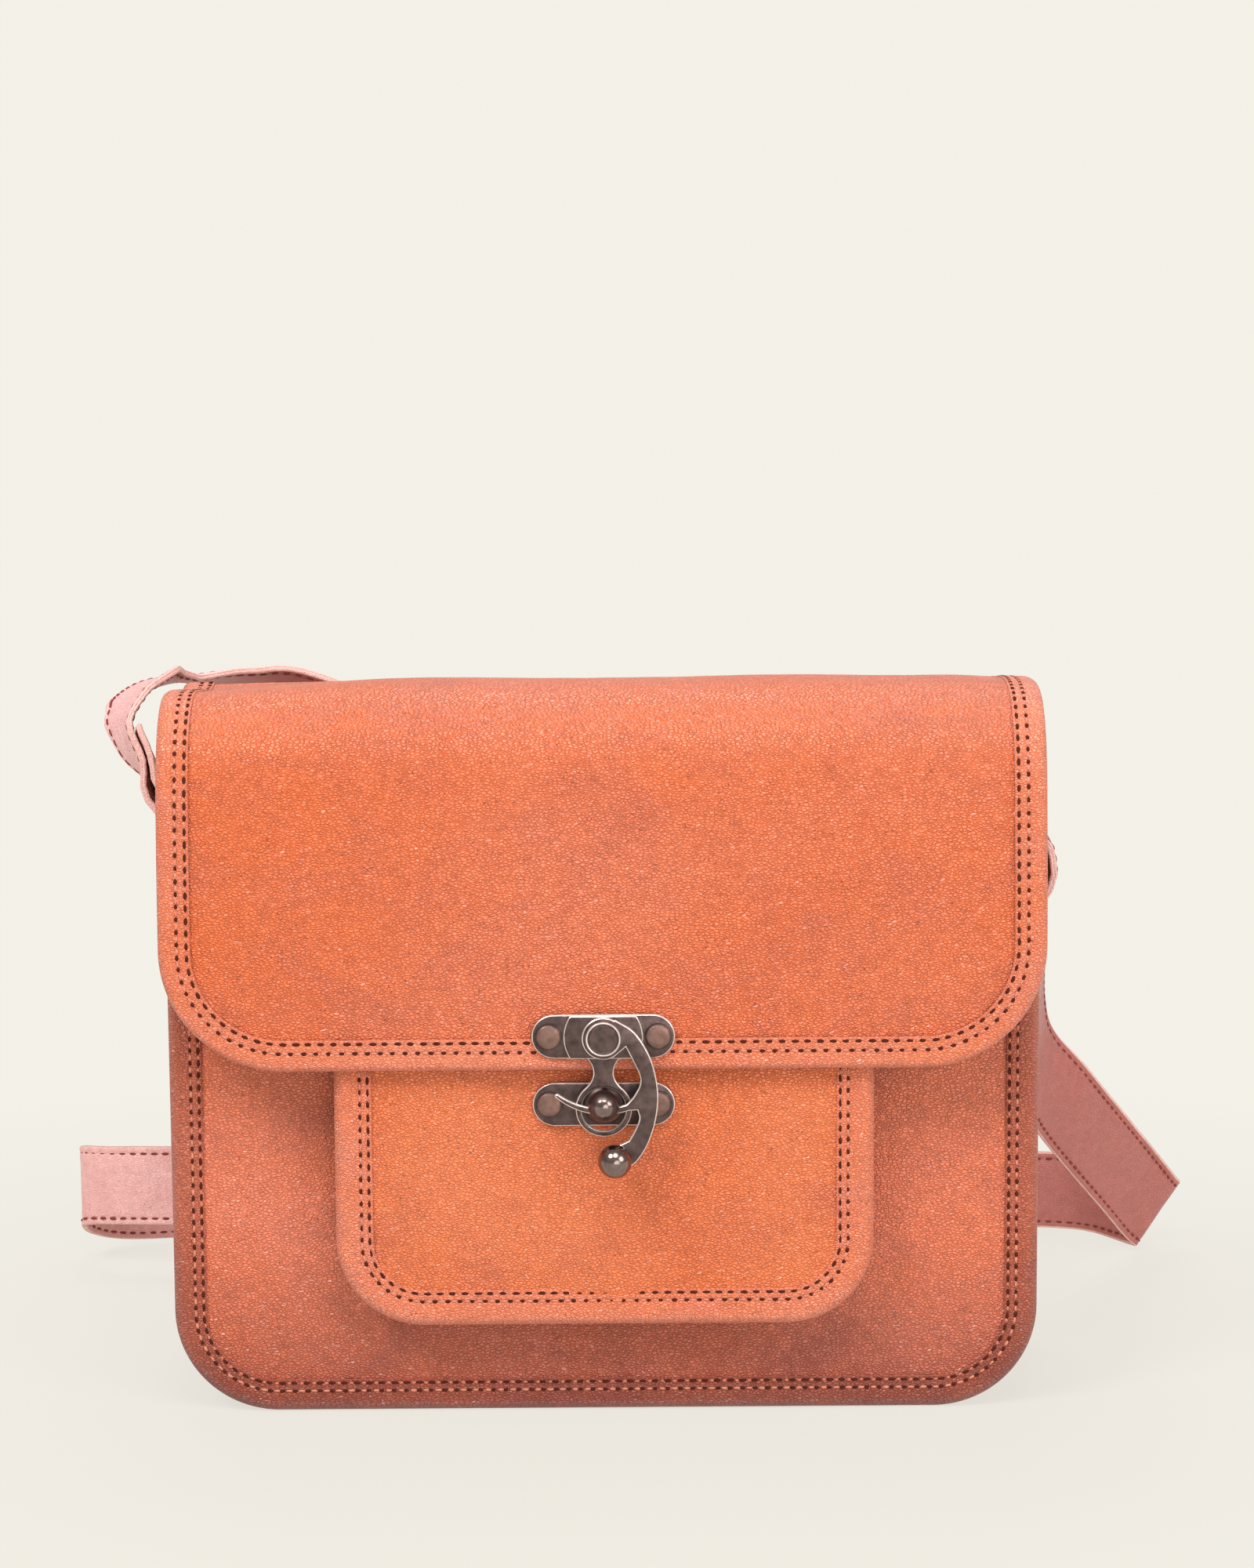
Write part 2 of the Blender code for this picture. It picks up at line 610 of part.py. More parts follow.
def hasp_outline():
    """The hasp: a bar with round ends, a waisted neck and a round eye below it."""
    half = PLATE_HEIGHT / 2.0
    end = PLATE_LENGTH / 2.0 - half
    foot = CLASP_Z - half
    left = arc((-end, CLASP_Z), half, 90.0, 270.0, 2 * QUARTER_STEPS)
    ring = arc((0.0, STUD_Z), EYE_OUTER_RADIUS, 130.0, 410.0, 3 * QUARTER_STEPS)
    waist = (-NECK_WIDTH / 2.0, (foot + ring[0][1]) / 2.0)
    start = (-NECK_FOOT_WIDTH / 2.0, foot - GAP)
    neck = bend(start, (waist[0], (foot + waist[1]) / 2.0), waist)[:-1]
    neck += bend(waist, (waist[0], (waist[1] + ring[0][1]) / 2.0), ring[0])[:-1]
    mirrored = [(-x, z) for x, z in reversed(left + neck)]
    return left + neck + ring + mirrored


def make_clasp():
    centre = (0.0, CLASP_Z)
    eye = (0.0, STUD_Z)
    front = HASP_Y - HASP_PLATE
    hasp = plate("hasp_plate", hasp_outline(), front, HASP_Y)
    drill(hasp, 0.0, STUD_Z, EYE_INNER_RADIUS, front, HASP_Y)
    drill_row(hasp, CLASP_Z, RIVET_SHANK_RADIUS + GAP, front, HASP_Y)
    for label, x in rivet_places():
        rivet(
            "hasp_rivet_" + label, x, CLASP_Z, front, FLAP_BACK_Y, RIVET_CAP_RADIUS, RIVET_CAP_HEIGHT
        )
    place(hasp, NICKEL)

    lug = pin("hook_lug", LUG_RADIUS, centre, LUG_Y - LUG_THICKNESS, LUG_Y)
    reach = LUG_RADIUS + OVERRUN
    top = CLASP_Z + PLATE_HEIGHT / 2.0
    bottom = CLASP_Z - PLATE_HEIGHT / 2.0
    band = plate(
        "hook_lug_band", [(-reach, bottom), (reach, bottom), (reach, top), (-reach, top)],
        LUG_Y - LUG_THICKNESS - OVERRUN, LUG_Y + OVERRUN,
    )
    combine(lug, band, "INTERSECT")
    drill(lug, 0.0, CLASP_Z, RIVET_SHANK_RADIUS + GAP, LUG_Y - LUG_THICKNESS, LUG_Y)
    place(lug, NICKEL)
    rivet(
        "hook_pivot", 0.0, CLASP_Z, HOOK_Y - HOOK_THICKNESS, FLAP_BACK_Y,
        PIVOT_CAP_RADIUS, PIVOT_CAP_HEIGHT,
    )

    stud_front = STUD_PLATE_Y - STUD_PLATE
    base = plate("stud_plate", stadium(PLATE_LENGTH, PLATE_HEIGHT, eye), stud_front, STUD_PLATE_Y)
    drill_row(base, STUD_Z, RIVET_SHANK_RADIUS + GAP, stud_front, STUD_PLATE_Y)
    for label, x in rivet_places():
        rivet(
            "stud_rivet_" + label, x, STUD_Z, stud_front, POCKET_FACE_Y,
            RIVET_CAP_RADIUS, RIVET_CAP_HEIGHT,
        )
    place(base, NICKEL)
    make_stud()
    make_hook()


def make_stud():
    """The stud: a domed foot, a post with a cross hole for the hook, and a ball."""
    hole_y = HOOK_Y - HOOK_THICKNESS / 2.0
    ball_centre = STUD_Y - hole_y + STUD_BALL_RADIUS * 0.35
    post_top = ball_centre - STUD_BALL_RADIUS * 0.55
    ball = arc((0.0, ball_centre), STUD_BALL_RADIUS, 90.0, -33.0, QUARTER_STEPS)
    ball[0] = (0.0, ball[0][1])
    dome = arc((0.0, 0.0), 1.0, 68.0, 0.0, QUARTER_STEPS)
    foot = [(STUD_BASE_RADIUS * r, STUD_BASE_HEIGHT * h) for r, h in dome]
    length = POCKET_FACE_Y - STUD_Y + GAP
    profile = ball + [(STUD_POST_RADIUS, post_top), (STUD_POST_RADIUS, foot[0][1])] + foot + [
        (RIVET_SHANK_RADIUS, 0.0),
        (RIVET_SHANK_RADIUS, -length),
        (RIVET_BACK_RADIUS, -length),
        (RIVET_BACK_RADIUS, -length - RIVET_BACK_HEIGHT),
        (0.0, -length - RIVET_BACK_HEIGHT),
    ]
    stud = turned("stud_post", profile, (0.0, STUD_Y, STUD_Z))
    bore = rod(
        "stud_bore",
        [(-STUD_BASE_RADIUS, hole_y, STUD_Z), (STUD_BASE_RADIUS, hole_y, STUD_Z)],
        STUD_HOLE_RADIUS, resolution=3,
    )
    combine(stud, bore, "DIFFERENCE")
    place(stud, NICKEL)


def smooth(values, counts):
    """Vectors along a smooth curve through the given ones, so many for each span."""
    ends = [2.0 * values[0] - values[1]] + values + [2.0 * values[-1] - values[-2]]
    found = []
    for count, a, b, c, d in zip(counts, ends, ends[1:], ends[2:], ends[3:]):
        for i in range(count):
            t = i / count
            found.append(0.5 * (
                2.0 * b + (c - a) * t + (2.0 * a - 5.0 * b + 4.0 * c - d) * t * t
                + (3.0 * b - a - 3.0 * c + d) * t ** 3
            ))
    found.append(values[-1])
    return found


def rounded(shares):
    """A smooth row of points through a table of shares."""
    values = [Vector(pair) for pair in shares]
    return [tuple(point) for point in smooth(values, [2] * (len(values) - 1))]


def hook_outline():
    """The hook's flat outline as (x, z) points from its pivot."""
    scale = HOOK_REACH
    head = arc((0.0, 0.0), HOOK_EYE_RADIUS / scale, 300.0, 60.0, 3 * QUARTER_STEPS)
    half = PRONG_WIDTH / scale / 2.0
    start = math.degrees(PRONG_START_SHARE * math.pi)
    end = math.degrees(PRONG_END_SHARE * math.pi)
    under = arc((0.0, 0.0), 1.0 + half, -90.0 + start, -90.0 + end)
    over = arc((0.0, 0.0), 1.0 - half, -90.0 + end, -90.0 + start)
    tip_at = math.radians(-90.0 + end - 2.5)
    tip = [(math.cos(tip_at), math.sin(tip_at))]
    shape = head + rounded(HOOK_OUTER_SHARES) + rounded(HOOK_TAIL_SHARES)
    shape += rounded(HOOK_INNER_SHARES) + under + tip + over + rounded(HOOK_THROAT_SHARES)
    return [(x * scale, CLASP_Z + z * scale) for x, z in shape]


def make_hook():
    front = HOOK_Y - HOOK_THICKNESS
    hook = plate("clasp_hook", hook_outline(), front, HOOK_Y)
    drill(hook, 0.0, CLASP_Z, RIVET_SHANK_RADIUS + GAP, front, HOOK_Y)
    x, z = KNOB_SHARES[0] * HOOK_REACH, CLASP_Z + KNOB_SHARES[1] * HOOK_REACH
    drill(hook, x, z, KNOB_NECK_RADIUS + GAP, front, HOOK_Y)
    place(hook, NICKEL)
    behind = HOOK_THICKNESS + 2.0 * GAP
    ball = arc((0.0, KNOB_RADIUS * 0.6), KNOB_RADIUS, 90.0, -36.0, QUARTER_STEPS)
    ball[0] = (0.0, ball[0][1])
    head = KNOB_NECK_RADIUS * 1.6
    profile = ball + [
        (KNOB_NECK_RADIUS * 1.5, 0.0),
        (KNOB_NECK_RADIUS, 0.0),
        (KNOB_NECK_RADIUS, -behind),
        (head, -behind),
        (head * 0.8, -behind - RIVET_CAP_HEIGHT),
        (0.0, -behind - RIVET_CAP_HEIGHT),
    ]
    place(turned("hook_knob", profile, (x, front - GAP, z)), NICKEL)


def strip(name, stations, width, thickness, colour):
    """A strap through stations of (point, direction of its width)."""
    mesh = bpy.data.meshes.new(name)
    work = bmesh.new()
    rows = []
    for point, across in stations:
        half = across.normalized() * (width / 2.0)
        rows.append((work.verts.new(point - half), work.verts.new(point + half)))
    for (a, b), (c, d) in zip(rows, rows[1:]):
        work.faces.new((a, b, d, c))
    work.to_mesh(mesh)
    work.free()
    obj = thicken(bpy.data.objects.new(name, mesh), thickness)
    return place(obj, colour)


def framed(points, normals):
    """Stations of (point, across, outward) along a route with its outer side given."""
    found = []
    last = len(points) - 1
    for i, point in enumerate(points):
        along = (points[min(i + 1, last)] - points[max(i - 1, 0)]).normalized()
        outward = normals[i] - along * normals[i].dot(along)
        outward.normalize()
        found.append((point, outward.cross(along).normalized(), outward))
    return found


def route_from(table):
    """Points and outward directions in metres from a table of shares."""
    rows = []
    for across, back, up, rest, nx, ny, nz in table:
        z = up * BACK_HEIGHT + rest * STRAP_WIDTH / 2.0
        rows.append((across * HALF_WIDTH, back * BODY_DEPTH, z, nx, ny, nz))
    return rows


def smooth_rows(rows):
    """The same smooth curve for points and outward directions together."""
    points = [Vector(row[:3]) for row in rows]
    normals = [Vector(row[3:]) for row in rows]
    counts = [
        max(1, round((b - a).length / SPAN_LENGTH)) for a, b in zip(points, points[1:])
    ]
    return smooth(points, counts), smooth(normals, counts)


def loop_round(bar, stations, first_outward, along):
    """The turned-back end of a strap: its tail, then the bight round a bar."""
    step = loop_step()
    steps = 2 * QUARTER_STEPS
    tail = []
    travelled = 0.0
    for (a, _, _), (b, across, outward) in zip(stations, stations[1:]):
        travelled += (b - a).length
        if travelled > STRAP_TAIL:
            break
        close = min(1.0, travelled / (0.6 * STRAP_TAIL))
        offset = 2.0 * step + (PLY_STEP * 1.15 - 2.0 * step) * close
        tail.append((b - outward * offset, across))
    tail.reverse()
    bight = []
    for i in range(steps + 1):
        turn = math.pi * i / steps
        arm = -math.cos(turn) * first_outward - math.sin(turn) * along
        bight.append((bar + arm * step, first_outward.cross(along).normalized()))
    return tail + bight


def ring_bars(side):
    """A ring's two bars: the one in its tab and the one in the strap."""
    loop = RING_WIRE_RADIUS + GAP + TAB_PLY / 2.0
    x = HALF_WIDTH - GUSSET_INSET + GAP + TAB_PLY / 2.0 + loop
    lower = Vector((side * x, RING_DEPTH, RING_HEIGHT))
    lean = math.radians(RING_LEAN_LEFT if side < 0.0 else RING_LEAN_RIGHT)
    away = Vector((side * math.cos(lean), 0.0, math.sin(lean)))
    return lower, lower + away * RING_REACH, away


def make_ring(label, side):
    lower, upper, away = ring_bars(side)
    half = RING_HALF_WIDTH
    radius = RING_WIRE_RADIUS * 1.5
    corners = []
    for cy, cs, start in (
        (half - radius, RING_REACH - radius, 0.0), (radius - half, RING_REACH - radius, 90.0),
        (radius - half, radius, 180.0), (half - radius, radius, 270.0),
    ):
        corners += arc((cy, cs), radius, start, start + 90.0, 3)
    points = [lower + Vector((0.0, y, 0.0)) + away * s for y, s in corners]
    ring = rod("strap_ring_" + label, points, RING_WIRE_RADIUS, closed=True)
    place(ring, NICKEL)


def make_tab(label, side):
    """A tab sewn to the gusset, folded round the ring's lower bar."""
    lower = ring_bars(side)[0]
    loop = RING_WIRE_RADIUS + GAP + TAB_PLY / 2.0
    inner_x = lower.x - side * loop
    outer_x = inner_x + side * (TAB_PLY + GAP)
    foot = RING_HEIGHT - TAB_LENGTH
    across = Vector((0.0, 1.0, 0.0))
    stations = [(Vector((inner_x, RING_DEPTH, foot)), across)]
    for x, z in arc((0.0, 0.0), loop, 180.0, 0.0, 2 * QUARTER_STEPS):
        stations.append((Vector((lower.x + side * x, RING_DEPTH, RING_HEIGHT + z)), across))
    stations.append((Vector((outer_x, RING_DEPTH, RING_HEIGHT - TAB_LENGTH * 0.4)), across))
    stations.append((Vector((outer_x, RING_DEPTH, foot)), across))
    strip("strap_tab_" + label, stations, STRAP_WIDTH, TAB_PLY, STRAP_LEATHER)


def make_straps():
    """The long strap from the left ring and the short one from the right ring."""
    run_left = BUCKLE_PLACE - BUCKLE_LENGTH
    front_bar = BUCKLE_TILT
    under = RUN_Y + front_bar - BAR_STEP
    over = RUN_Y + BAR_STEP + PLY_STEP
    reach = STRAP_END_LENGTH
    rows = route_from(LONG_ROUTE_SHARES)
    ahead = BUCKLE_LENGTH * 1.4
    rows += [
        (run_left - ahead, under, RUN_Z, 0.0, -1.0, 0.0),
        (run_left, under, RUN_Z, 0.0, -1.0, 0.0),
        (run_left + BUCKLE_LENGTH * 0.5, (under + over) / 2.0, RUN_Z, 0.0, -1.0, 0.0),
        (BUCKLE_PLACE, over, RUN_Z, 0.0, -1.0, 0.0),
        (BUCKLE_PLACE + reach * 0.5, over, RUN_Z, 0.0, -1.0, 0.0),
        (BUCKLE_PLACE + reach, over, RUN_Z, 0.0, -1.0, 0.0),
    ]
    head, body = looped(rows, ring_bars(-1.0)[1])
    strap = strip("strap_long", head + body, STRAP_WIDTH, STRAP_THICKNESS, STRAP_LEATHER)
    combine(strap, hole_at(under, over), "DIFFERENCE")

    heel = Vector((BUCKLE_PLACE, RUN_Y, RUN_Z))
    rows = route_from(SHORT_ROUTE_SHARES)
    near = RUN_Y - BAR_STEP
    rows += [
        (BUCKLE_PLACE + reach, near, RUN_Z, 0.0, 1.0, 0.0),
        (BUCKLE_PLACE, near, RUN_Z, 0.0, 1.0, 0.0),
    ]
    head, body = looped(rows, ring_bars(1.0)[1])
    tail = []
    for i in range(2 * QUARTER_STEPS + 1):
        turn = math.pi * i / (2 * QUARTER_STEPS)
        arm = Vector((-math.sin(turn), -math.cos(turn), 0.0))
        tail.append((heel + arm * BAR_STEP, Vector((0.0, 0.0, 1.0))))
    far = heel + Vector((SHORT_END_LENGTH, BAR_STEP, 0.0))
    middle = heel + Vector((SHORT_END_LENGTH / 2.0, BAR_STEP, 0.0))
    tail += [(middle, Vector((0.0, 0.0, 1.0))), (far, Vector((0.0, 0.0, 1.0)))]
    align = body[-1][1].z
    tail = [(point, across * (1.0 if align > 0.0 else -1.0)) for point, across in tail]
    short = strip(
        "strap_short", head + body[:-1] + tail, STRAP_WIDTH, STRAP_THICKNESS, STRAP_LEATHER
    )
    half = PRONG_SLOT_WIDTH / 2.0
    clear = BUCKLE_WIRE_RADIUS + 2.0 * PRONG_RADIUS + 3.0 * GAP
    slot = plate(
        "strap_short_slot",
        [
            (heel.x - 3.0 * BAR_STEP, heel.z - half), (heel.x + clear, heel.z - half),
            (heel.x + clear, heel.z + half), (heel.x - 3.0 * BAR_STEP, heel.z + half),
        ],
        RUN_Y - 3.0 * BAR_STEP, RUN_Y + 3.0 * BAR_STEP,
    )
    combine(short, slot, "DIFFERENCE")


def hole_at(under, over):
    """The oval hole that the buckle's prong passes through."""
    x = BUCKLE_PLACE - BUCKLE_LENGTH / 2.0
    outline = stadium(PRONG_SLOT_LENGTH, PRONG_SLOT_WIDTH, (x, RUN_Z))
    return plate("strap_hole", outline, under - 3.0 * BAR_STEP, over + 3.0 * BAR_STEP)


def loop_step():
    return RING_WIRE_RADIUS + GAP + STRAP_THICKNESS / 2.0


def leaving(bar, rows):
    """The way a strap leaves a ring's bar, square to the bar, and its outer side there."""
    toward = Vector(rows[0][:3]) - bar
    along = Vector((toward.x, 0.0, toward.z)).normalized()
    outward = Vector((along.z, 0.0, -along.x))
    if outward.dot(Vector(rows[0][3:])) < 0.0:
        outward = -outward
    return along, outward


def looped(rows, bar):
    """A strap's turned-back end round a ring's bar, and its run along the route."""
    along, outward = leaving(bar, rows)
    first = bar + outward * loop_step()
    second = first + along * 2.0 * loop_step()
    points, normals = smooth_rows([(*first, *outward), (*second, *outward)] + rows)
    stations = framed(points, normals)
    head = loop_round(bar, stations, outward, along)
    body = [(point, across) for point, across, _ in stations]
    length = sum((b[0] - a[0]).length for a, b in zip(body, body[1:]))
    print("strap beyond its ring:", round(length, 4), "m")
    return head[:-1], body


def make_buckle():
    """The buckle's wire frame, its prong and the leather keeper."""
    half = BUCKLE_HALF_HEIGHT - BUCKLE_WIRE_RADIUS
    radius = BUCKLE_WIRE_RADIUS * 2.0
    corners = []
    for cx, cz, start in (
        (-radius, half - radius, 0.0), (radius - BUCKLE_LENGTH, half - radius, 90.0),
        (radius - BUCKLE_LENGTH, radius - half, 180.0), (-radius, radius - half, 270.0),
    ):
        corners += arc((cx, cz), radius, start, start + 90.0, 3)
    points = []
    for x, z in corners:
        lift = BUCKLE_TILT * (-x / BUCKLE_LENGTH)
        points.append(Vector((BUCKLE_PLACE + x, RUN_Y + lift, RUN_Z + z)))
    frame = rod("buckle_frame", points, BUCKLE_WIRE_RADIUS, closed=True)
    place(frame, NICKEL)

    heel = Vector((BUCKLE_PLACE, RUN_Y, RUN_Z))
    eye = pin_z("buckle_prong", heel, BUCKLE_WIRE_RADIUS + GAP + 2.0 * PRONG_RADIUS, PRONG_RADIUS)
    rise = BUCKLE_TILT + BUCKLE_WIRE_RADIUS + GAP + PRONG_RADIUS
    root = BUCKLE_WIRE_RADIUS + GAP + PRONG_RADIUS
    tip = heel + Vector((-BUCKLE_LENGTH - BUCKLE_WIRE_RADIUS, rise, 0.0))
    arm = rod(
        "buckle_prong_arm",
        [heel + Vector((-root, 0.0, 0.0)), heel + Vector((-BUCKLE_LENGTH * 0.75, rise * 0.96, 0.0)), tip],
        PRONG_RADIUS,
    )
    combine(eye, arm, "UNION")
    bore = pin_z("buckle_prong_bore", heel, BUCKLE_WIRE_RADIUS + GAP, PRONG_RADIUS + OVERRUN)
    combine(eye, bore, "DIFFERENCE")
    place(eye, NICKEL)

    inner_front = RUN_Y - BAR_STEP - STRAP_THICKNESS / 2.0 - GAP
    inner_back = RUN_Y + BAR_STEP + PLY_STEP + STRAP_THICKNESS / 2.0 + GAP
    half = STRAP_WIDTH / 2.0 + GAP
    left = BUCKLE_PLACE + KEEPER_PLACE
    keeper = plate(
        "strap_keeper",
        frame_outline(left, KEEPER_WIDTH, RUN_Z, half + KEEPER_THICKNESS),
        inner_front - KEEPER_THICKNESS, inner_back + KEEPER_THICKNESS,
    )
    hollow = plate(
        "strap_keeper_hollow",
        frame_outline(left - OVERRUN, KEEPER_WIDTH + 2.0 * OVERRUN, RUN_Z, half),
        inner_front, inner_back,
    )
    combine(keeper, hollow, "DIFFERENCE")
    place(keeper, STRAP_LEATHER)


def frame_outline(left, width, middle, half):
    return [
        (left, middle - half), (left + width, middle - half),
        (left + width, middle + half), (left, middle + half),
    ]


def pin_z(name, centre, radius, half):
    """A plain round pin along Z."""
    mesh = bpy.data.meshes.new(name)
    work = bmesh.new()
    bmesh.ops.create_cone(
        work, cap_ends=True, segments=TURN_STEPS, radius1=radius, radius2=radius, depth=2.0 * half
    )
    work.to_mesh(mesh)
    work.free()
    obj = bpy.data.objects.new(name, mesh)
    obj.location = centre
    return obj


def hang(label, place_of, names, parent=None):
    """An empty on a joint's axis that carries the pieces which turn with it."""
    empty = bpy.data.objects.new(label, None)
    cutters.objects.link(empty)
    empty.hide_render = True
    empty.location = place_of
    bpy.context.view_layer.update()
    for name in names:
        piece = parts.objects[name]
        piece.parent = empty
        piece.matrix_parent_inverse = empty.matrix_world.inverted()
    if parent:
        empty.parent = parent
        empty.matrix_parent_inverse = parent.matrix_world.inverted()
    place_text = ", ".join(str(round(value, 5)) for value in place_of)
    print(label, "axis through", place_text)
    return empty


def hang_moving_pieces():
    top = hang(
        "flap_top_hinge", (0.0, HINGE_Y, HINGE_Z),
        ["flap_top", "flap_top_binding_left", "flap_top_binding_right"],
    )
    fold = flap_fold()
    rivets = ["hasp_rivet_left", "hasp_rivet_right", "hook_pivot"]
    front = hang(
        "flap_front_hinge", (0.0, fold[0], fold[1]),
        ["flap_front", "flap_binding", "hasp_plate", "hook_lug"] + rivets, top,
    )
    hang("hook_swing", (0.0, HOOK_Y, CLASP_Z), ["clasp_hook", "hook_knob"], front)
    hang("buckle_prong_hinge", (BUCKLE_PLACE, RUN_Y, RUN_Z), ["buckle_prong"])


make_body()
make_pocket()
make_flap()
make_clasp()
for ring_label, ring_side in (("left", -1.0), ("right", 1.0)):
    make_ring(ring_label, ring_side)
    make_tab(ring_label, ring_side)
make_straps()
make_buckle()
hang_moving_pieces()
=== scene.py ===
# Tan leather satchel: front pocket, full flap, swing hook and a shoulder strap behind it.
import math

import bmesh
import bpy
import numpy as np
from mathutils import Matrix, Vector, noise


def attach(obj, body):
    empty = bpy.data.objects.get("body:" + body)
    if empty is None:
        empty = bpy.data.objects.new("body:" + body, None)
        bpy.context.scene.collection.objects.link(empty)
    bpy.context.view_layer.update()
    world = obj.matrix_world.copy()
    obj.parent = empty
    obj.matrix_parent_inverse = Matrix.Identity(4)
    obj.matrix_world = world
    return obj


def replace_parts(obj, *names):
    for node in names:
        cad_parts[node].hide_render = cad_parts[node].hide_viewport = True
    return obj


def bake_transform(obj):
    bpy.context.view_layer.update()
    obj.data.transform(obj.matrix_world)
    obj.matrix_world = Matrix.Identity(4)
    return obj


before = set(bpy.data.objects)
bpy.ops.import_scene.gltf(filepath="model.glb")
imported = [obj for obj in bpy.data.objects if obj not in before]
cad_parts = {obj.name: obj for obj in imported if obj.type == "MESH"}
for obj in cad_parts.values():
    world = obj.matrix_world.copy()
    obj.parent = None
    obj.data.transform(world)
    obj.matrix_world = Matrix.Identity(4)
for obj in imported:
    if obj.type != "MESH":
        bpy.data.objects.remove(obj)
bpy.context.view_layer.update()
print("frame loaded:", len(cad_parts), "nodes")

# sizes that several pieces share, in metres, as the solids have them
bag = {
    "halfWidth": 0.125, "depth": 0.068, "frontHeight": 0.192, "backHeight": 0.200,
    "corner": 0.030, "rimHalf": 0.0030, "rimWidth": 0.0095, "rimRows": (0.0063, 0.0086),
}
clasp = {"pivotZ": 0.1151, "studZ": 0.0941, "reach": 0.0210, "clearX": 0.024, "clearFade": 0.022}
scene = bpy.context.scene


# meshes: every piece is built, welded and shaded by these
def linkedObject(name, mesh, sharpAngle):
    mesh.polygons.foreach_set("use_smooth", [True] * len(mesh.polygons))
    mesh.set_sharp_from_angle(angle=math.radians(sharpAngle))
    made = bpy.data.objects.new(name, mesh)
    scene.collection.objects.link(made)
    return made


def weldedObject(name, mesh, sharpAngle=45.0, merge=1e-6):
    work = bmesh.new()  # weld and point the faces outwards
    work.from_mesh(mesh)
    bmesh.ops.remove_doubles(work, verts=work.verts, dist=merge)
    bmesh.ops.recalc_face_normals(work, faces=work.faces)
    work.to_mesh(mesh)
    work.free()
    return linkedObject(name, mesh, sharpAngle)


def meshObject(name, points, faces, paints=(), facePaint=None, sharpAngle=45.0, shade=None):
    mesh = bpy.data.meshes.new(name)
    mesh.from_pydata([tuple(p) for p in points], [], faces)
    for paint in paints:
        mesh.materials.append(paint)
    if facePaint is not None:
        mesh.polygons.foreach_set("material_index", facePaint)
    if shade is not None:
        mesh.attributes.new("shade", "FLOAT", "POINT").data.foreach_set("value", shade)
    return weldedObject(name, mesh, sharpAngle)


def finalMesh(holder):
    # the object's mesh with its modifiers run
    bpy.context.view_layer.update()
    graph = bpy.context.evaluated_depsgraph_get()
    return bpy.data.meshes.new_from_object(holder.evaluated_get(graph))


def carve(piece, cutter):
    # cut the second piece out of the first, for good
    cut = piece.modifiers.new("cut", "BOOLEAN")
    cut.operation, cut.solver, cut.object = "DIFFERENCE", "EXACT", cutter
    piece.data = finalMesh(piece)
    piece.modifiers.clear()
    bpy.data.objects.remove(cutter)


def gridFaces(rows, columns, ringed=False, start=0):
    faces = []
    for r in range(rows - 1):
        for c in range(columns if ringed else columns - 1):
            n = (c + 1) % columns
            a, b = start + r * columns + c, start + r * columns + n
            faces.append((a, b, b + columns, a + columns))
    return faces


def loft(name, rings, paints, segmentPaint=None, sharpAngle=45.0, shade=None):
    # closed rings of points, one after another, with both ends capped
    count = len(rings[0])
    points = [p for ring in rings for p in ring]
    faces = gridFaces(len(rings), count, ringed=True)
    marks = [(segmentPaint[i % count] if segmentPaint else 0) for i in range(len(faces))] + [0, 0]
    faces += [tuple(range(count)), tuple(range(len(points) - count, len(points)))]
    return meshObject(name, points, faces, paints, marks, sharpAngle, shade)


def shell(name, outer, inner, face, sharpAngle=45.0):
    # two grids of points a wall apart, joined round their rims: face, back and cut edge
    rows, columns = len(outer), len(outer[0])
    points = [p for row in outer for p in row] + [p for row in inner for p in row]
    half = rows * columns
    faces = gridFaces(rows, columns) + gridFaces(rows, columns, start=half)
    marks = [0] * ((rows - 1) * (columns - 1)) + [1] * ((rows - 1) * (columns - 1))
    border = list(range(columns))
    border += [r * columns + columns - 1 for r in range(1, rows)]
    border += [half - 1 - c for c in range(1, columns)]
    border += [(rows - 1 - r) * columns for r in range(1, rows - 1)]
    for a, b in zip(border, border[1:] + border[:1]):
        faces.append((a, b, b + half, a + half))
        marks.append(2)
    paints = [finishes[face], finishes["flesh"], finishes["cutEdge"]]
    return meshObject(name, points, faces, paints, marks, sharpAngle)


def arcPoints(cx, cz, radius, start, end, steps):
    turns = [math.radians(start + (end - start) * i / steps) for i in range(steps + 1)]
    return [(cx + radius * math.cos(a), cz + radius * math.sin(a)) for a in turns]


def ripple(x, z, scale, seed):
    return noise.noise(Vector((x * scale + seed, z * scale - seed, seed * 0.37)))


def easeStep(low, high, value):
    t = min(1.0, max(0.0, (value - low) / (high - low)))
    return t * t * (3.0 - 2.0 * t)


def bendPoints(start, corner, end, steps):
    found = []
    for i in range(steps + 1):
        t = i / steps
        found.append(tuple(
            (1 - t) ** 2 * a + 2 * t * (1 - t) * b + t * t * c
            for a, b, c in zip(start, corner, end)
        ))
    return found


# materials: every recipe reads Object coordinates or the piece's own painted-shade attribute
def feed(tree, made, inputs):
    # each input takes another node's output, a colour of three shares, or a plain value
    for key, value in inputs.items():
        socket = made.inputs[key]
        if isinstance(value, bpy.types.NodeSocket):
            tree.links.new(value, socket)
        elif socket.type == "RGBA":
            socket.default_value = (*value, 1.0)
        else:
            socket.default_value = value
    return made


def addNode(tree, kind, inputs=None, **settings):
    made = tree.nodes.new(kind)
    for key, value in settings.items():
        setattr(made, key, value)
    return feed(tree, made, inputs or {})


def newMaterial(name):
    made = bpy.data.materials.new(name)
    made.use_nodes = True
    return made, made.node_tree, made.node_tree.nodes["Principled BSDF"]


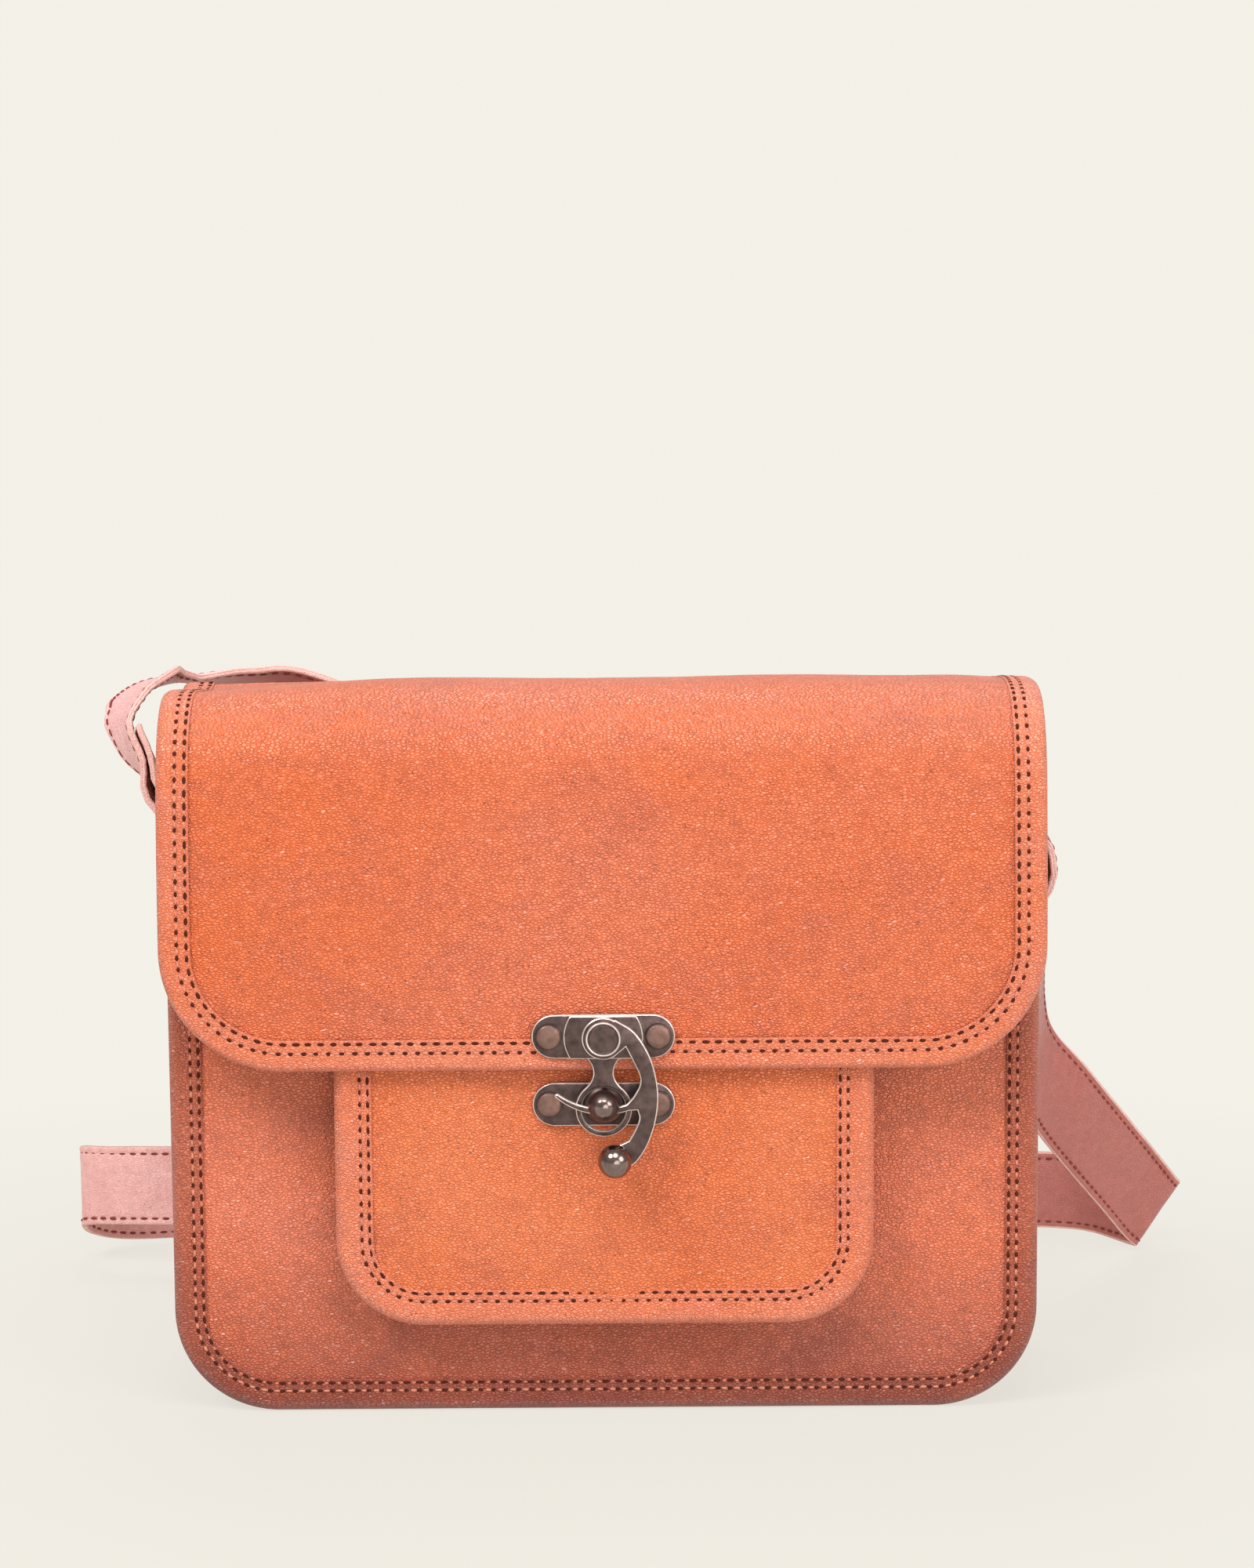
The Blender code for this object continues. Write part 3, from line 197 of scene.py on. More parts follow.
def mapped(tree, scale=(1.0, 1.0, 1.0), turn=(0.0, 0.0, 0.0)):
    place = addNode(tree, "ShaderNodeTexCoord").outputs["Object"]
    inputs = {"Vector": place, "Scale": scale, "Rotation": turn}
    return addNode(tree, "ShaderNodeMapping", inputs).outputs["Vector"]


def noiseField(tree, vector, scale, detail=4.0, rough=0.55, warp=0.0):
    inputs = {"Vector": vector, "Scale": scale, "Detail": detail, "Roughness": rough, "Distortion": warp}
    return addNode(tree, "ShaderNodeTexNoise", inputs).outputs["Fac"]


def ramped(tree, value, low, high, start=0.0, end=1.0):
    inputs = {"Value": value, "From Min": low, "From Max": high, "To Min": start, "To Max": end}
    return addNode(tree, "ShaderNodeMapRange", inputs, clamp=True).outputs["Result"]


def blended(tree, factor, first, second, way="MIX"):
    inputs = {"Factor": factor, 6: first, 7: second}  # 6, 7 and 2 are the node's colour sockets
    return addNode(tree, "ShaderNodeMix", inputs, data_type="RGBA", blend_type=way).outputs[2]


def worked(tree, way, *values):
    return addNode(tree, "ShaderNodeMath", dict(enumerate(values)), operation=way).outputs[0]


# scales are counts per metre; a ramp is the part of a field that counts, then what it gives
hideLook = {
    "cloud": 9.0, "cloudRamp": (0.38, 0.62),
    "patch": 30.0, "patchStretch": ((1.0, 1.0, 1.5), (0.1, 0.0, 0.4)), "duskRamp": (0.48, 0.74, 0.0, 0.60),
    "mottle": 330.0, "mottleRamp": (0.30, 0.72, 0.87, 1.09), "footRamp": (0.25, 0.6, 0.65, 1.0),
    "pebble": 1050.0, "pebbleStretch": ((0.75, 1.0, 1.3), (0.2, 0.0, 0.3)), "pebbleRamp": (0.0, 0.22),
    "pebbleDark": 0.13, "pebbleBright": 1.03,
    "pore": 620.0, "poreRamp": (0.12, 0.30, 1.0, 0.0), "poreDark": 0.38,
    "sparse": 130.0, "sparseRamp": (0.45, 0.58), "poreShare": 0.70,
    "scratchStretch": ((30.0, 30.0, 620.0), (0.0, 0.45, 0.0)), "scratchRamp": (0.755, 0.81, 0.0, 0.22),
    "scratchGain": 1.10, "scratchLift": 0.14,
    "mottleHeight": 0.6, "patchHeight": 1.0, "bump": 0.70, "bumpDepth": 0.0006,
    "glossRamp": (0.3, 0.75), "glossLess": 0.07, "glossMore": 0.10,
    "ior": 1.58, "sheenRoughness": 0.30, "sheenTint": (1.0, 0.74, 0.72),
}


def leather(name, base, warm, dusk, roughness=0.36, foot=None, grain=1.0, sheen=0.19, shaded=None):
    # vegetable-tanned hide: broad clouds, pebble grain, dark pores and pale scratches
    look = hideLook
    made, tree, shader = newMaterial(name)
    plain = mapped(tree)
    cloud = noiseField(tree, plain, look["cloud"], 3.0, 0.55, 0.6)
    patch = noiseField(tree, mapped(tree, *look["patchStretch"]), look["patch"], 5.0, 0.62, 0.8)
    mottle = noiseField(tree, plain, look["mottle"], 4.0, 0.65)
    colour = blended(tree, ramped(tree, cloud, *look["cloudRamp"]), base, warm)
    colour = blended(tree, ramped(tree, patch, *look["duskRamp"]), colour, dusk)
    # darker towards the foot: partly patina, partly painted shade
    if foot is not None:
        height = addNode(tree, "ShaderNodeSeparateXYZ", {0: plain}).outputs["Z"]
        low = ramped(tree, height, foot["top"], foot["bottom"], 0.0, foot["share"])
        low = worked(tree, "MULTIPLY", low, ramped(tree, patch, *look["footRamp"]))
        colour = blended(tree, low, colour, foot["colour"])
    # painted shade: the shade attribute mixes the hide towards its shaded colour
    if shaded is not None:
        paintedShade = addNode(tree, "ShaderNodeAttribute", attribute_name="shade")
        colour = blended(tree, paintedShade.outputs["Fac"], colour, shaded)

    cells = addNode(tree, "ShaderNodeTexVoronoi", {
        "Scale": look["pebble"], "Vector": mapped(tree, *look["pebbleStretch"]),
    }, feature="DISTANCE_TO_EDGE")
    pebble = ramped(tree, cells.outputs["Distance"], *look["pebbleRamp"])
    shade = ramped(tree, pebble, 0.0, 1.0, 1.0 - look["pebbleDark"] * grain, look["pebbleBright"])
    colour = blended(tree, 1.0, colour, shade, "MULTIPLY")
    colour = blended(tree, 1.0, colour, ramped(tree, mottle, *look["mottleRamp"]), "MULTIPLY")

    pores = addNode(tree, "ShaderNodeTexVoronoi", {"Scale": look["pore"], "Vector": plain}, feature="F1")
    speck = ramped(tree, pores.outputs["Distance"], *look["poreRamp"])
    sparse = noiseField(tree, plain, look["sparse"], 3.0)
    sparse = ramped(tree, sparse, *look["sparseRamp"], 0.0, look["poreShare"] * grain)
    speck = worked(tree, "MULTIPLY", speck, sparse)
    colour = blended(tree, speck, colour, tuple(look["poreDark"] * c for c in base))

    scratch = noiseField(tree, mapped(tree, *look["scratchStretch"]), 1.0, 2.0, 0.5, 1.8)
    pale = tuple(min(1.0, c * look["scratchGain"] + look["scratchLift"]) for c in base)
    colour = blended(tree, ramped(tree, scratch, *look["scratchRamp"]), colour, pale)

    height = worked(tree, "MULTIPLY_ADD", mottle, look["mottleHeight"], pebble)
    height = worked(tree, "MULTIPLY_ADD", patch, look["patchHeight"], height)
    bump = addNode(tree, "ShaderNodeBump", {
        "Strength": look["bump"] * grain, "Distance": look["bumpDepth"], "Height": height,
    })
    gloss = (roughness - look["glossLess"], roughness + look["glossMore"])
    feed(tree, shader, {
        "Base Color": colour, "Normal": bump.outputs["Normal"],
        "Roughness": ramped(tree, patch, *look["glossRamp"], *gloss), "IOR": look["ior"],
        "Sheen Weight": sheen, "Sheen Roughness": look["sheenRoughness"], "Sheen Tint": look["sheenTint"],
    })
    return made


metalLook = {"bloom": 420.0, "bloomRamp": (0.35, 0.68), "fine": 2600.0, "bump": 0.10, "bumpDepth": 0.0001,
             "glossRamp": (0.3, 0.7), "glossMore": 0.14}
threadLook = {"strand": 2400.0, "strandRamp": (0.3, 0.7), "roughness": 0.6}


def metal(name, colour, dusk, roughness, grit=1.0, metallic=1.0):
    # aged nickel: brown-grey bloom with rubbed patches
    look = metalLook
    made, tree, shader = newMaterial(name)
    plain = mapped(tree)
    bloom = noiseField(tree, plain, look["bloom"], 5.0, 0.6)
    bump = addNode(tree, "ShaderNodeBump", {
        "Strength": look["bump"] * grit, "Distance": look["bumpDepth"],
        "Height": noiseField(tree, plain, look["fine"], 3.0),
    })
    gloss = (roughness, roughness + look["glossMore"] * grit)
    feed(tree, shader, {
        "Base Color": blended(tree, ramped(tree, bloom, *look["bloomRamp"]), colour, dusk),
        "Roughness": ramped(tree, bloom, *look["glossRamp"], *gloss),
        "Normal": bump.outputs["Normal"], "Metallic": metallic,
    })
    return made


def thread(name, colour, dusk, gloss=0.4):
    made, tree, shader = newMaterial(name)
    strand = noiseField(tree, mapped(tree), threadLook["strand"], 2.0)
    feed(tree, shader, {
        "Base Color": blended(tree, ramped(tree, strand, *threadLook["strandRamp"]), colour, dusk),
        "Roughness": threadLook["roughness"], "Specular IOR Level": gloss,
    })
    return made


# each leather: its name, its base, warm and dusky colours, its roughness, then what sets it apart
finishes = {
    "hide": leather("tanHide", (0.75, 0.168, 0.070), (0.76, 0.146, 0.042), (0.52, 0.118, 0.064)),
    # bodyHide and rimHide grow darker towards the foot: partly patina, partly painted shade
    "bodyHide": leather(
        "bodyHide", (0.80, 0.205, 0.110), (0.76, 0.170, 0.070), (0.56, 0.145, 0.092),
        foot={"top": 0.050, "bottom": 0.006, "share": 0.78, "colour": (0.27, 0.056, 0.040)},
    ),
    "pocketHide": leather(
        "pocketHide", (0.84, 0.200, 0.072), (0.78, 0.155, 0.040), (0.56, 0.120, 0.056),
    ),
    "binding": leather(
        "bindingHide", (0.84, 0.225, 0.115), (0.80, 0.180, 0.070), (0.74, 0.215, 0.140), 0.32, sheen=0.26,
    ),
    "rimHide": leather(
        "rimHide", (0.52, 0.120, 0.062), (0.50, 0.105, 0.048), (0.42, 0.105, 0.068), 0.38,
        foot={"top": 0.060, "bottom": 0.0, "share": 0.88, "colour": (0.19, 0.030, 0.017)},
    ),
    # the strap's pale pink base is partly painted sheen; its shaded colour is the painted shade that the shade
    # attribute lays on
    "strapHide": leather(
        "strapHide", (0.98, 0.540, 0.520), (0.94, 0.450, 0.410), (0.84, 0.400, 0.370), 0.42,
        grain=0.6, shaded=(0.38, 0.046, 0.020),
    ),
    "flesh": leather(
        "fleshSide", (0.30, 0.110, 0.090), (0.27, 0.098, 0.075), (0.22, 0.085, 0.072), 0.78,
        grain=1.3, sheen=0.0,
    ),
    "cutEdge": leather(
        "cutEdge", (0.44, 0.115, 0.064), (0.38, 0.095, 0.052), (0.31, 0.080, 0.048), 0.5,
        grain=0.5, sheen=0.1,
    ),
    "strapEdge": leather(
        "strapEdge", (0.92, 0.560, 0.500), (0.84, 0.460, 0.400), (0.72, 0.360, 0.300), 0.45, grain=0.5,
    ),
    "nickel": metal("agedNickel", (0.145, 0.096, 0.088), (0.074, 0.052, 0.048), 0.30),
    "nickelWorn": metal("rubbedNickel", (0.92, 0.84, 0.79), (0.66, 0.57, 0.52), 0.24, metallic=0.7),
    "nickelRivet": metal("rivetNickel", (0.29, 0.165, 0.135), (0.18, 0.108, 0.088), 0.40),
    "nickelBall": metal("ballNickel", (0.30, 0.225, 0.200), (0.20, 0.145, 0.130), 0.15, grit=0.4),
    "thread": thread("tanThread", (0.66, 0.24, 0.15), (0.52, 0.17, 0.10)),
    "threadLow": thread("sunkThread", (0.60, 0.20, 0.11), (0.46, 0.13, 0.07)),
    "strapThread": thread("roseThread", (0.26, 0.050, 0.038), (0.19, 0.036, 0.028), 0.2),
    # dark beads for the needle holes: painted shade for their hollows
    "needleHole": thread("needleHole", (0.062, 0.013, 0.008), (0.095, 0.022, 0.014), 0.0),
}
print("materials ready:", len(finishes))


# stitches and wires as node trees
def openTree(name, sockets):
    tree = bpy.data.node_groups.new(name, "GeometryNodeTree")
    tree.interface.new_socket("Geometry", in_out="INPUT", socket_type="NodeSocketGeometry")
    for label, kind, value in sockets:
        socket = tree.interface.new_socket(label, in_out="INPUT", socket_type=kind)
        if value is not None:
            socket.default_value = value
    tree.interface.new_socket("Geometry", in_out="OUTPUT", socket_type="NodeSocketGeometry")
    return tree, addNode(tree, "NodeGroupInput").outputs


def closeTree(tree, given, shape):
    # every tree ends in plain geometry with its own material
    real = addNode(tree, "GeometryNodeRealizeInstances", {"Geometry": shape})
    painted = addNode(tree, "GeometryNodeSetMaterial", {
        "Geometry": real.outputs["Geometry"], "Material": given["Finish"],
    })
    addNode(tree, "NodeGroupOutput", {"Geometry": painted.outputs["Geometry"]})
    return tree


def stitchTree():
    number = "NodeSocketFloat"
    tree, given = openTree("stitchRow", [
        ("Pitch", number, 0.0036), ("Length", number, 0.0024), ("Width", number, 0.0009),
        ("Height", number, 0.0005), ("Shift", number, 0.0), ("Uneven", number, 0.1),
        ("Seed", "NodeSocketInt", 1), ("Finish", "NodeSocketMaterial", None),
    ])
    curve = addNode(tree, "GeometryNodeMeshToCurve", {"Mesh": given["Geometry"]})
    spaced = addNode(tree, "GeometryNodeResampleCurve", {
        "Curve": curve.outputs["Curve"], "Length": given["Pitch"],
    }, mode="LENGTH")
    bead = addNode(tree, "GeometryNodeMeshUVSphere", {"Segments": 6, "Rings": 5, "Radius": 0.5})
    turned = addNode(tree, "GeometryNodeTransform", {  # the bead's poles lie along the row
        "Geometry": bead.outputs["Mesh"], "Rotation": (0.0, math.pi / 2.0, 0.0),
    })
    size = addNode(tree, "ShaderNodeCombineXYZ", {
        "X": given["Length"], "Y": given["Width"], "Z": given["Height"],
    })
    offset = addNode(tree, "ShaderNodeCombineXYZ", {"X": given["Shift"]})
    sized = addNode(tree, "GeometryNodeTransform", {
        "Geometry": turned.outputs["Geometry"], "Scale": size.outputs["Vector"],
        "Translation": offset.outputs["Vector"],
    })
    tangent = addNode(tree, "GeometryNodeInputTangent")
    outward = addNode(tree, "GeometryNodeInputNamedAttribute", {"Name": "outward"}, data_type="FLOAT_VECTOR")
    along = addNode(tree, "FunctionNodeAlignRotationToVector", {
        "Vector": tangent.outputs["Tangent"],
    }, axis="X")
    upright = addNode(tree, "FunctionNodeAlignRotationToVector", {
        "Rotation": along.outputs["Rotation"], "Vector": outward.outputs["Attribute"],
    }, axis="Z", pivot_axis="X")
    chance = addNode(tree, "FunctionNodeRandomValue", {
        "Min": worked(tree, "SUBTRACT", 1.0, given["Uneven"]), "Max": (1.0, 1.0, 1.0), "Seed": given["Seed"],
    }, data_type="FLOAT_VECTOR")
    placed = addNode(tree, "GeometryNodeInstanceOnPoints", {
        "Points": spaced.outputs["Curve"], "Instance": sized.outputs["Geometry"],
        "Rotation": upright.outputs["Rotation"], "Scale": chance.outputs["Value"],
    })
    return closeTree(tree, given, placed.outputs["Instances"])


def wireTree():
    tree, given = openTree("wireRun", [
        ("Radius", "NodeSocketFloat", 0.0015), ("Sides", "NodeSocketInt", 14),
        ("Finish", "NodeSocketMaterial", None),
    ])
    curve = addNode(tree, "GeometryNodeMeshToCurve", {"Mesh": given["Geometry"]})
    ring = addNode(tree, "GeometryNodeCurvePrimitiveCircle", {
        "Radius": given["Radius"], "Resolution": given["Sides"],
    })
    swept = addNode(tree, "GeometryNodeCurveToMesh", {
        "Fill Caps": True, "Curve": curve.outputs["Curve"], "Profile Curve": ring.outputs["Curve"],
    })
    return closeTree(tree, given, swept.outputs["Mesh"])


trees = {"stitch": stitchTree(), "wire": wireTree()}


def grown(name, carrier, tree, values, sharpAngle=60.0):
    # run a node tree on the carrier mesh and keep the plain result
    holder = bpy.data.objects.new(name + "Carrier", carrier)
    scene.collection.objects.link(holder)
    modifier = holder.modifiers.new("grow", "NODES")
    modifier.node_group = tree
    for item in tree.interface.items_tree:
        if item.item_type == "SOCKET" and item.in_out == "INPUT" and item.name in values:
            modifier[item.identifier] = values[item.name]
    mesh = finalMesh(holder)
    mesh.name = name
    bpy.data.objects.remove(holder)
    if "outward" in mesh.attributes:
        mesh.attributes.remove(mesh.attributes["outward"])
    return linkedObject(name, mesh, sharpAngle)


def railMesh(name, rails, closed=False):
    # rails: lists of (point, outward) pairs
    points, edges, outward = [], [], []
    for rail in rails:
        first = len(points)
        points += [tuple(p) for p, _ in rail]
        outward += [tuple(n) for _, n in rail]
        edges += [(i, i + 1) for i in range(first, len(points) - 1)]
        if closed:
            edges.append((len(points) - 1, first))
    mesh = bpy.data.meshes.new(name)
    mesh.from_pydata(points, edges, [])
    attribute = mesh.attributes.new("outward", "FLOAT_VECTOR", "POINT")
    attribute.data.foreach_set("vector", np.array(outward, np.float32).ravel())
    return mesh


# each kind of row: (part, length, width, height, shift in pitches, finish)
stitch = {
    "pitch": 0.0036, "uneven": 0.20,
    "outer": (("Threads", 0.0021, 0.00095, 0.0009, 0.0, "thread"),
              ("Holes", 0.0016, 0.00140, 0.0008, 0.5, "needleHole")),
    "inner": (("Threads", 0.0014, 0.00090, 0.0007, 0.0, "threadLow"),
              ("Holes", 0.0023, 0.00135, 0.0007, 0.5, "needleHole")),
    "strap": (("Threads", 0.0026, 0.00105, 0.0008, 0.0, "strapThread"),),
}


def sewn(name, rails, mover, seed, kinds=("outer", "inner"), step=stitch["pitch"]):
    # rows of thread beads with dark beads between them for the needle holes, painted shade for their hollows; the kinds
    # take turns
    for k, kind in enumerate(kinds):
        for part, length, width, height, shift, paint in stitch[kind]:
            label = name + kind.title() + part
            piece = grown(label, railMesh(label, rails[k::len(kinds)]), trees["stitch"], {
                "Pitch": step, "Length": length * step / stitch["pitch"], "Width": width, "Height": height,
                "Shift": shift * step, "Uneven": stitch["uneven"], "Seed": seed + k,
                "Finish": finishes[paint],
            })
            mover(piece)


def onBody(piece):
    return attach(piece, "body")


def wireLoop(name, points, radius, finish, closed=True, sides=14):
    rail = [(p, (0.0, 0.0, 1.0)) for p in points]
    return grown(name, railMesh(name, [rail], closed), trees["wire"], {
        "Radius": radius, "Sides": sides, "Finish": finishes[finish],
    }, 50.0)


# outlines, bound rims and panels
def pouchStations(halfWidth, bottom, top, radius, sideStep, cornerStep):
    # (x, z, nx, nz, along, corner) from the left top round the foot to the right top
    found = []
    straight = halfWidth - radius
    sides = max(2, round((top - bottom - radius) / sideStep))
    turn = max(4, round(math.pi / 2.0 * radius / cornerStep))
    floor = max(2, round(2.0 * straight / sideStep))

    def corner(side, start):
        for i in range(turn):
            a = start + math.pi / 2.0 * i / turn
            nx, nz = math.cos(a), math.sin(a)
            found.append((side * straight + radius * nx, bottom + radius + radius * nz, nx, nz,
                          math.sin(math.pi * i / turn)))

    for i in range(sides):
        found.append((-halfWidth, top + (bottom + radius - top) * i / sides, -1.0, 0.0, 0.0))
    corner(-1.0, math.pi)
    for i in range(floor):
        found.append((-straight + 2.0 * straight * i / floor, bottom, 0.0, -1.0, 0.0))
    corner(1.0, math.pi * 1.5)
    for i in range(sides + 1):
        found.append((halfWidth, bottom + radius + (top - bottom - radius) * i / sides, 1.0, 0.0, 0.0))
    length, stations = 0.0, []
    for i, row in enumerate(found):
        if i:
            length += math.dist(row[:2], found[i - 1][:2])
        stations.append((*row[:4], length, row[4]))
    return stations


def pouchHalf(halfWidth, bottom, radius, z):
    # half the outline's width at a height
    if z >= bottom + radius:
        return halfWidth
    drop = min(radius, bottom + radius - z)
    return halfWidth - radius + math.sqrt(max(0.0, radius * radius - drop * drop))


def pouchGrid(halfWidth, bottom, top, radius, columns, rows, cornerRows=12):
    heights = [bottom + radius * (1.0 - math.cos(math.pi / 2.0 * i / cornerRows)) for i in range(cornerRows)]
    heights += [bottom + radius + (top - bottom - radius) * i / rows for i in range(rows + 1)]
    return [
        [(pouchHalf(halfWidth, bottom, radius, z) * (2.0 * c / columns - 1.0), z) for c in range(columns + 1)]
        for z in heights
    ]


def plane(y, soft=None, side=-1.0):
    # maps (x, z, level) to a point: level counts outwards from the plane
    def at(x, z, level):
        lift = soft(x, z) if soft else 0.0
        return Vector((x, y + side * (level + lift), z))
    return at


rimLook = {"groove": 0.00036, "grooveHalf": 0.00050, "edgeDrop": 0.0004, "edgeReach": 0.0005,
           "middlePuff": 0.6, "gatherPitch": 0.0023, "lastStep": 0.0003}


def rimLevel(rim, inset, along, corner):
    # height of a bound rim's face over its middle plane
    look, level = rimLook, rim["half"]
    outer, inner = rim["rows"]
    if inset < outer:
        level += rim["puff"] * math.sin(math.pi * min(1.0, inset / outer)) ** 2
    if outer <= inset <= inner:
        level += look["middlePuff"] * rim["puff"] * math.sin(math.pi * (inset - outer) / (inner - outer))
    for row in rim["rows"]:
        level -= look["groove"] * math.exp(-((inset - row) / look["grooveHalf"]) ** 2)
    beyond = rim["width"] - inset
    if beyond < look["edgeReach"]:
        level -= look["edgeDrop"] * (1.0 - beyond / look["edgeReach"]) ** 2
    if inset < inner:
        turn = 2.0 * math.pi * along / look["gatherPitch"] + 5.0 * ripple(along, inset * 0.3, 160.0, 3.1)
        gather = rim["gather"] * (0.25 + 0.75 * corner)
        level += gather * math.sin(turn) * math.sin(math.pi * min(1.0, inset / inner)) ** 0.7
    level += rim["rough"] * ripple(along, inset, 260.0, 7.7)
    return level


def boundRim(name, rim, stations, surface, finish="binding"):
    # a tape folded round the rim: face, rolled edge, back, then the two hidden legs
    half, tape, width = rim["half"], rim["tape"], rim["width"]
    roll = [half * (1.0 - math.cos(math.radians(a))) for a in (84, 70, 56, 42, 30, 19, 9)]
    flat = [half + (width - half) * i / 15.0 for i in range(15)] + [width - rimLook["lastStep"], width]
    rings = []
    for x, z, nx, nz, along, corner in stations:
        ring = []
        for side in (1.0, -1.0):
            run = []
            for inset in reversed(flat):
                run.append((inset, side * rimLevel(rim, inset, along, corner)))
            for inset in roll:
                share = math.sqrt(max(0.0, 1.0 - (1.0 - inset / half) ** 2))
                run.append((inset, side * rimLevel(rim, inset, along, corner) * share))
            ring += run if side > 0.0 else [(0.0, 0.0)] + run[::-1]
        ring += [(width, -half + tape), (tape, -half + tape), (tape, half - tape), (width, half - tape)]
        rings.append([surface(x - nx * d, z - nz * d, level) for d, level in ring])
    marks = [0] * len(rings[0])
    marks[-1] = marks[-5] = 1  # the two raw edges
    return loft(name, rings, [finishes[finish], finishes["cutEdge"]], marks, 50.0)


def rimRails(rim, stations, surface, side=1.0, lift=0.00012):
    rails = []
    for row in rim["rows"]:
        rail = []
        for x, z, nx, nz, along, corner in stations:
            level = side * (rimLevel(rim, row, along, corner) + lift)
            point = surface(x - nx * row, z - nz * row, level)
            above = surface(x - nx * row, z - nz * row, level + side * 0.001)
            rail.append((point, (above - point).normalized()))
        rails.append(rail)
    return rails


def nearClasp(x, z, low, high):
    # 1 away from the clasp's plates and 0 under them, where the leather lies flat
    away = max(abs(x) - clasp["clearX"], low - z, z - high)
    return easeStep(0.0, clasp["clearFade"], away)


def stripPiece(name, stations, lineAt, wall):
    # a strip of leather along an outline; lineAt gives its section there as (inset, y) pairs
    outer, inner = [], []
    for x, z, nx, nz, along, _ in stations:
        line = lineAt(nx, z, along)
        outRow, inRow = [], []
        for i, (d, y) in enumerate(line):
            a, b = line[max(0, i - 1)], line[min(len(line) - 1, i + 1)]
            run = Vector((b[0] - a[0], b[1] - a[1])).normalized()
            for row, way in ((outRow, wall / 2.0), (inRow, -wall / 2.0)):
                inset = d - run[1] * way
                row.append(Vector((x - nx * inset, y + run[0] * way, z - nz * inset)))
        outer.append(outRow)
        inner.append(inRow)
    return shell(name, outer, inner, "bodyHide")


# the body of the bag
bodyRim = {"half": bag["rimHalf"], "tape": 0.0011, "width": bag["rimWidth"], "rows": bag["rimRows"],
           "puff": 0.00022, "gather": 0.00005, "rough": 0.00012, "steps": (0.0026, 0.0016)}
panelLook = {"edge": 0.0040, "face": 0.0017, "back": -0.0001, "topGap": 0.0004, "fine": 0.00010,
             "warp": 0.0006, "frontSwell": 0.0011, "frontDent": 0.00045, "backSwell": 0.0016,
             "backDent": 0.0006}
gussetLook = {"wall": 0.0013, "inset": 0.01085, "sag": 0.0034, "floorSag": 0.0016, "wave": 0.0009,
              "crease": 0.0003, "bend": 0.0030, "start": 0.0055,
              "flange": ((0.0016, 0.00105), (0.0050, 0.00105), (0.0082, 0.00108)), "steps": (0.0034, 0.0024)}


def warped(seed):
    return lambda x, z: panelLook["warp"] * ripple(x, z, 8.0, seed) * easeStep(0.0, 0.05, z)


def makePanel(name, side, height, surface, seed):
    look, half = panelLook, bag["halfWidth"]
    edge, swell, dent = look["edge"], look[side + "Swell"], look[side + "Dent"]
    grid = pouchGrid(half - edge, edge, height - look["topGap"], bag["corner"] - edge, 100, 62)

    def level(x, z):
        arch = max(0.0, 1.0 - (x / half) ** 2) * math.sin(math.pi * min(1.0, max(0.0, z / height)))
        raised = look["face"] + swell * arch ** 0.8
        return raised + dent * ripple(x, z, 26.0, seed) + look["fine"] * ripple(x, z, 110.0, seed)

    outer = [[surface(x, z, level(x, z)) for x, z in row] for row in grid]
    inner = [[surface(x, z, look["back"]) for x, z in row] for row in grid]
    panel = shell(name, outer, inner, "bodyHide")
    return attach(panel, "body")


def makeBody():
    front = plane(0.0, warped(1.3))
    back = plane(bag["depth"], warped(4.9), 1.0)
    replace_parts(makePanel("frontPanel", "front", bag["frontHeight"], front, 2.2), "front_panel")
    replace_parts(makePanel("backPanel", "back", bag["backHeight"], back, 6.1), "back_panel")
    for label, surface, height, node, seed in (
        ("front", front, bag["frontHeight"], "front_binding", 11),
        ("back", back, bag["backHeight"], "back_binding", 12),
    ):
        stations = pouchStations(bag["halfWidth"], 0.0, height, bag["corner"], *bodyRim["steps"])
        rim = boundRim(label + "Rim", bodyRim, stations, surface, "rimHide")
        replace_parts(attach(rim, "body"), node)
        rails = rimRails(bodyRim, stations, surface) + rimRails(bodyRim, stations, surface, -1.0)
        sewn(label + "RimStitch", rails, onBody, seed)

    # one strip of leather makes both sides and the floor; its sides pull in a little
    look = gussetLook
    stations = pouchStations(bag["halfWidth"], 0.0, bag["frontHeight"], bag["corner"], *look["steps"])
    section = list(look["flange"])
    flangeY = section[-1][1]
    section += [(look["inset"] - look["bend"] * math.cos(a), flangeY + look["bend"] * (1.0 - math.sin(a)))
                for a in (math.pi / 2 - 0.35 * i for i in range(1, 4))]
    middle = [look["start"] + (bag["depth"] - 2.0 * look["start"]) * i / 22.0 for i in range(23)]
    rows = section + [(look["inset"], y) for y in middle]
    rows += [(d, bag["depth"] - y) for d, y in reversed(section)]

    def sagging(nx, z, along):
        line, upright = [], abs(nx)
        for d, y in rows:
            share = easeStep(0.004, 0.020, y) * easeStep(0.004, 0.020, bag["depth"] - y)
            pull = look["sag"] * upright * easeStep(0.02, 0.11, z) - look["floorSag"] * (1.0 - upright)
            pull += look["wave"] * ripple(along, y, 22.0, 5.5) + look["crease"] * ripple(along, y, 75.0, 9.2)
            line.append((d + pull * share, y))
        return line

    gusset = stripPiece("gussetLeather", stations, sagging, look["wall"])
    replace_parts(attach(gusset, "body"), "gusset")
    print("body made")


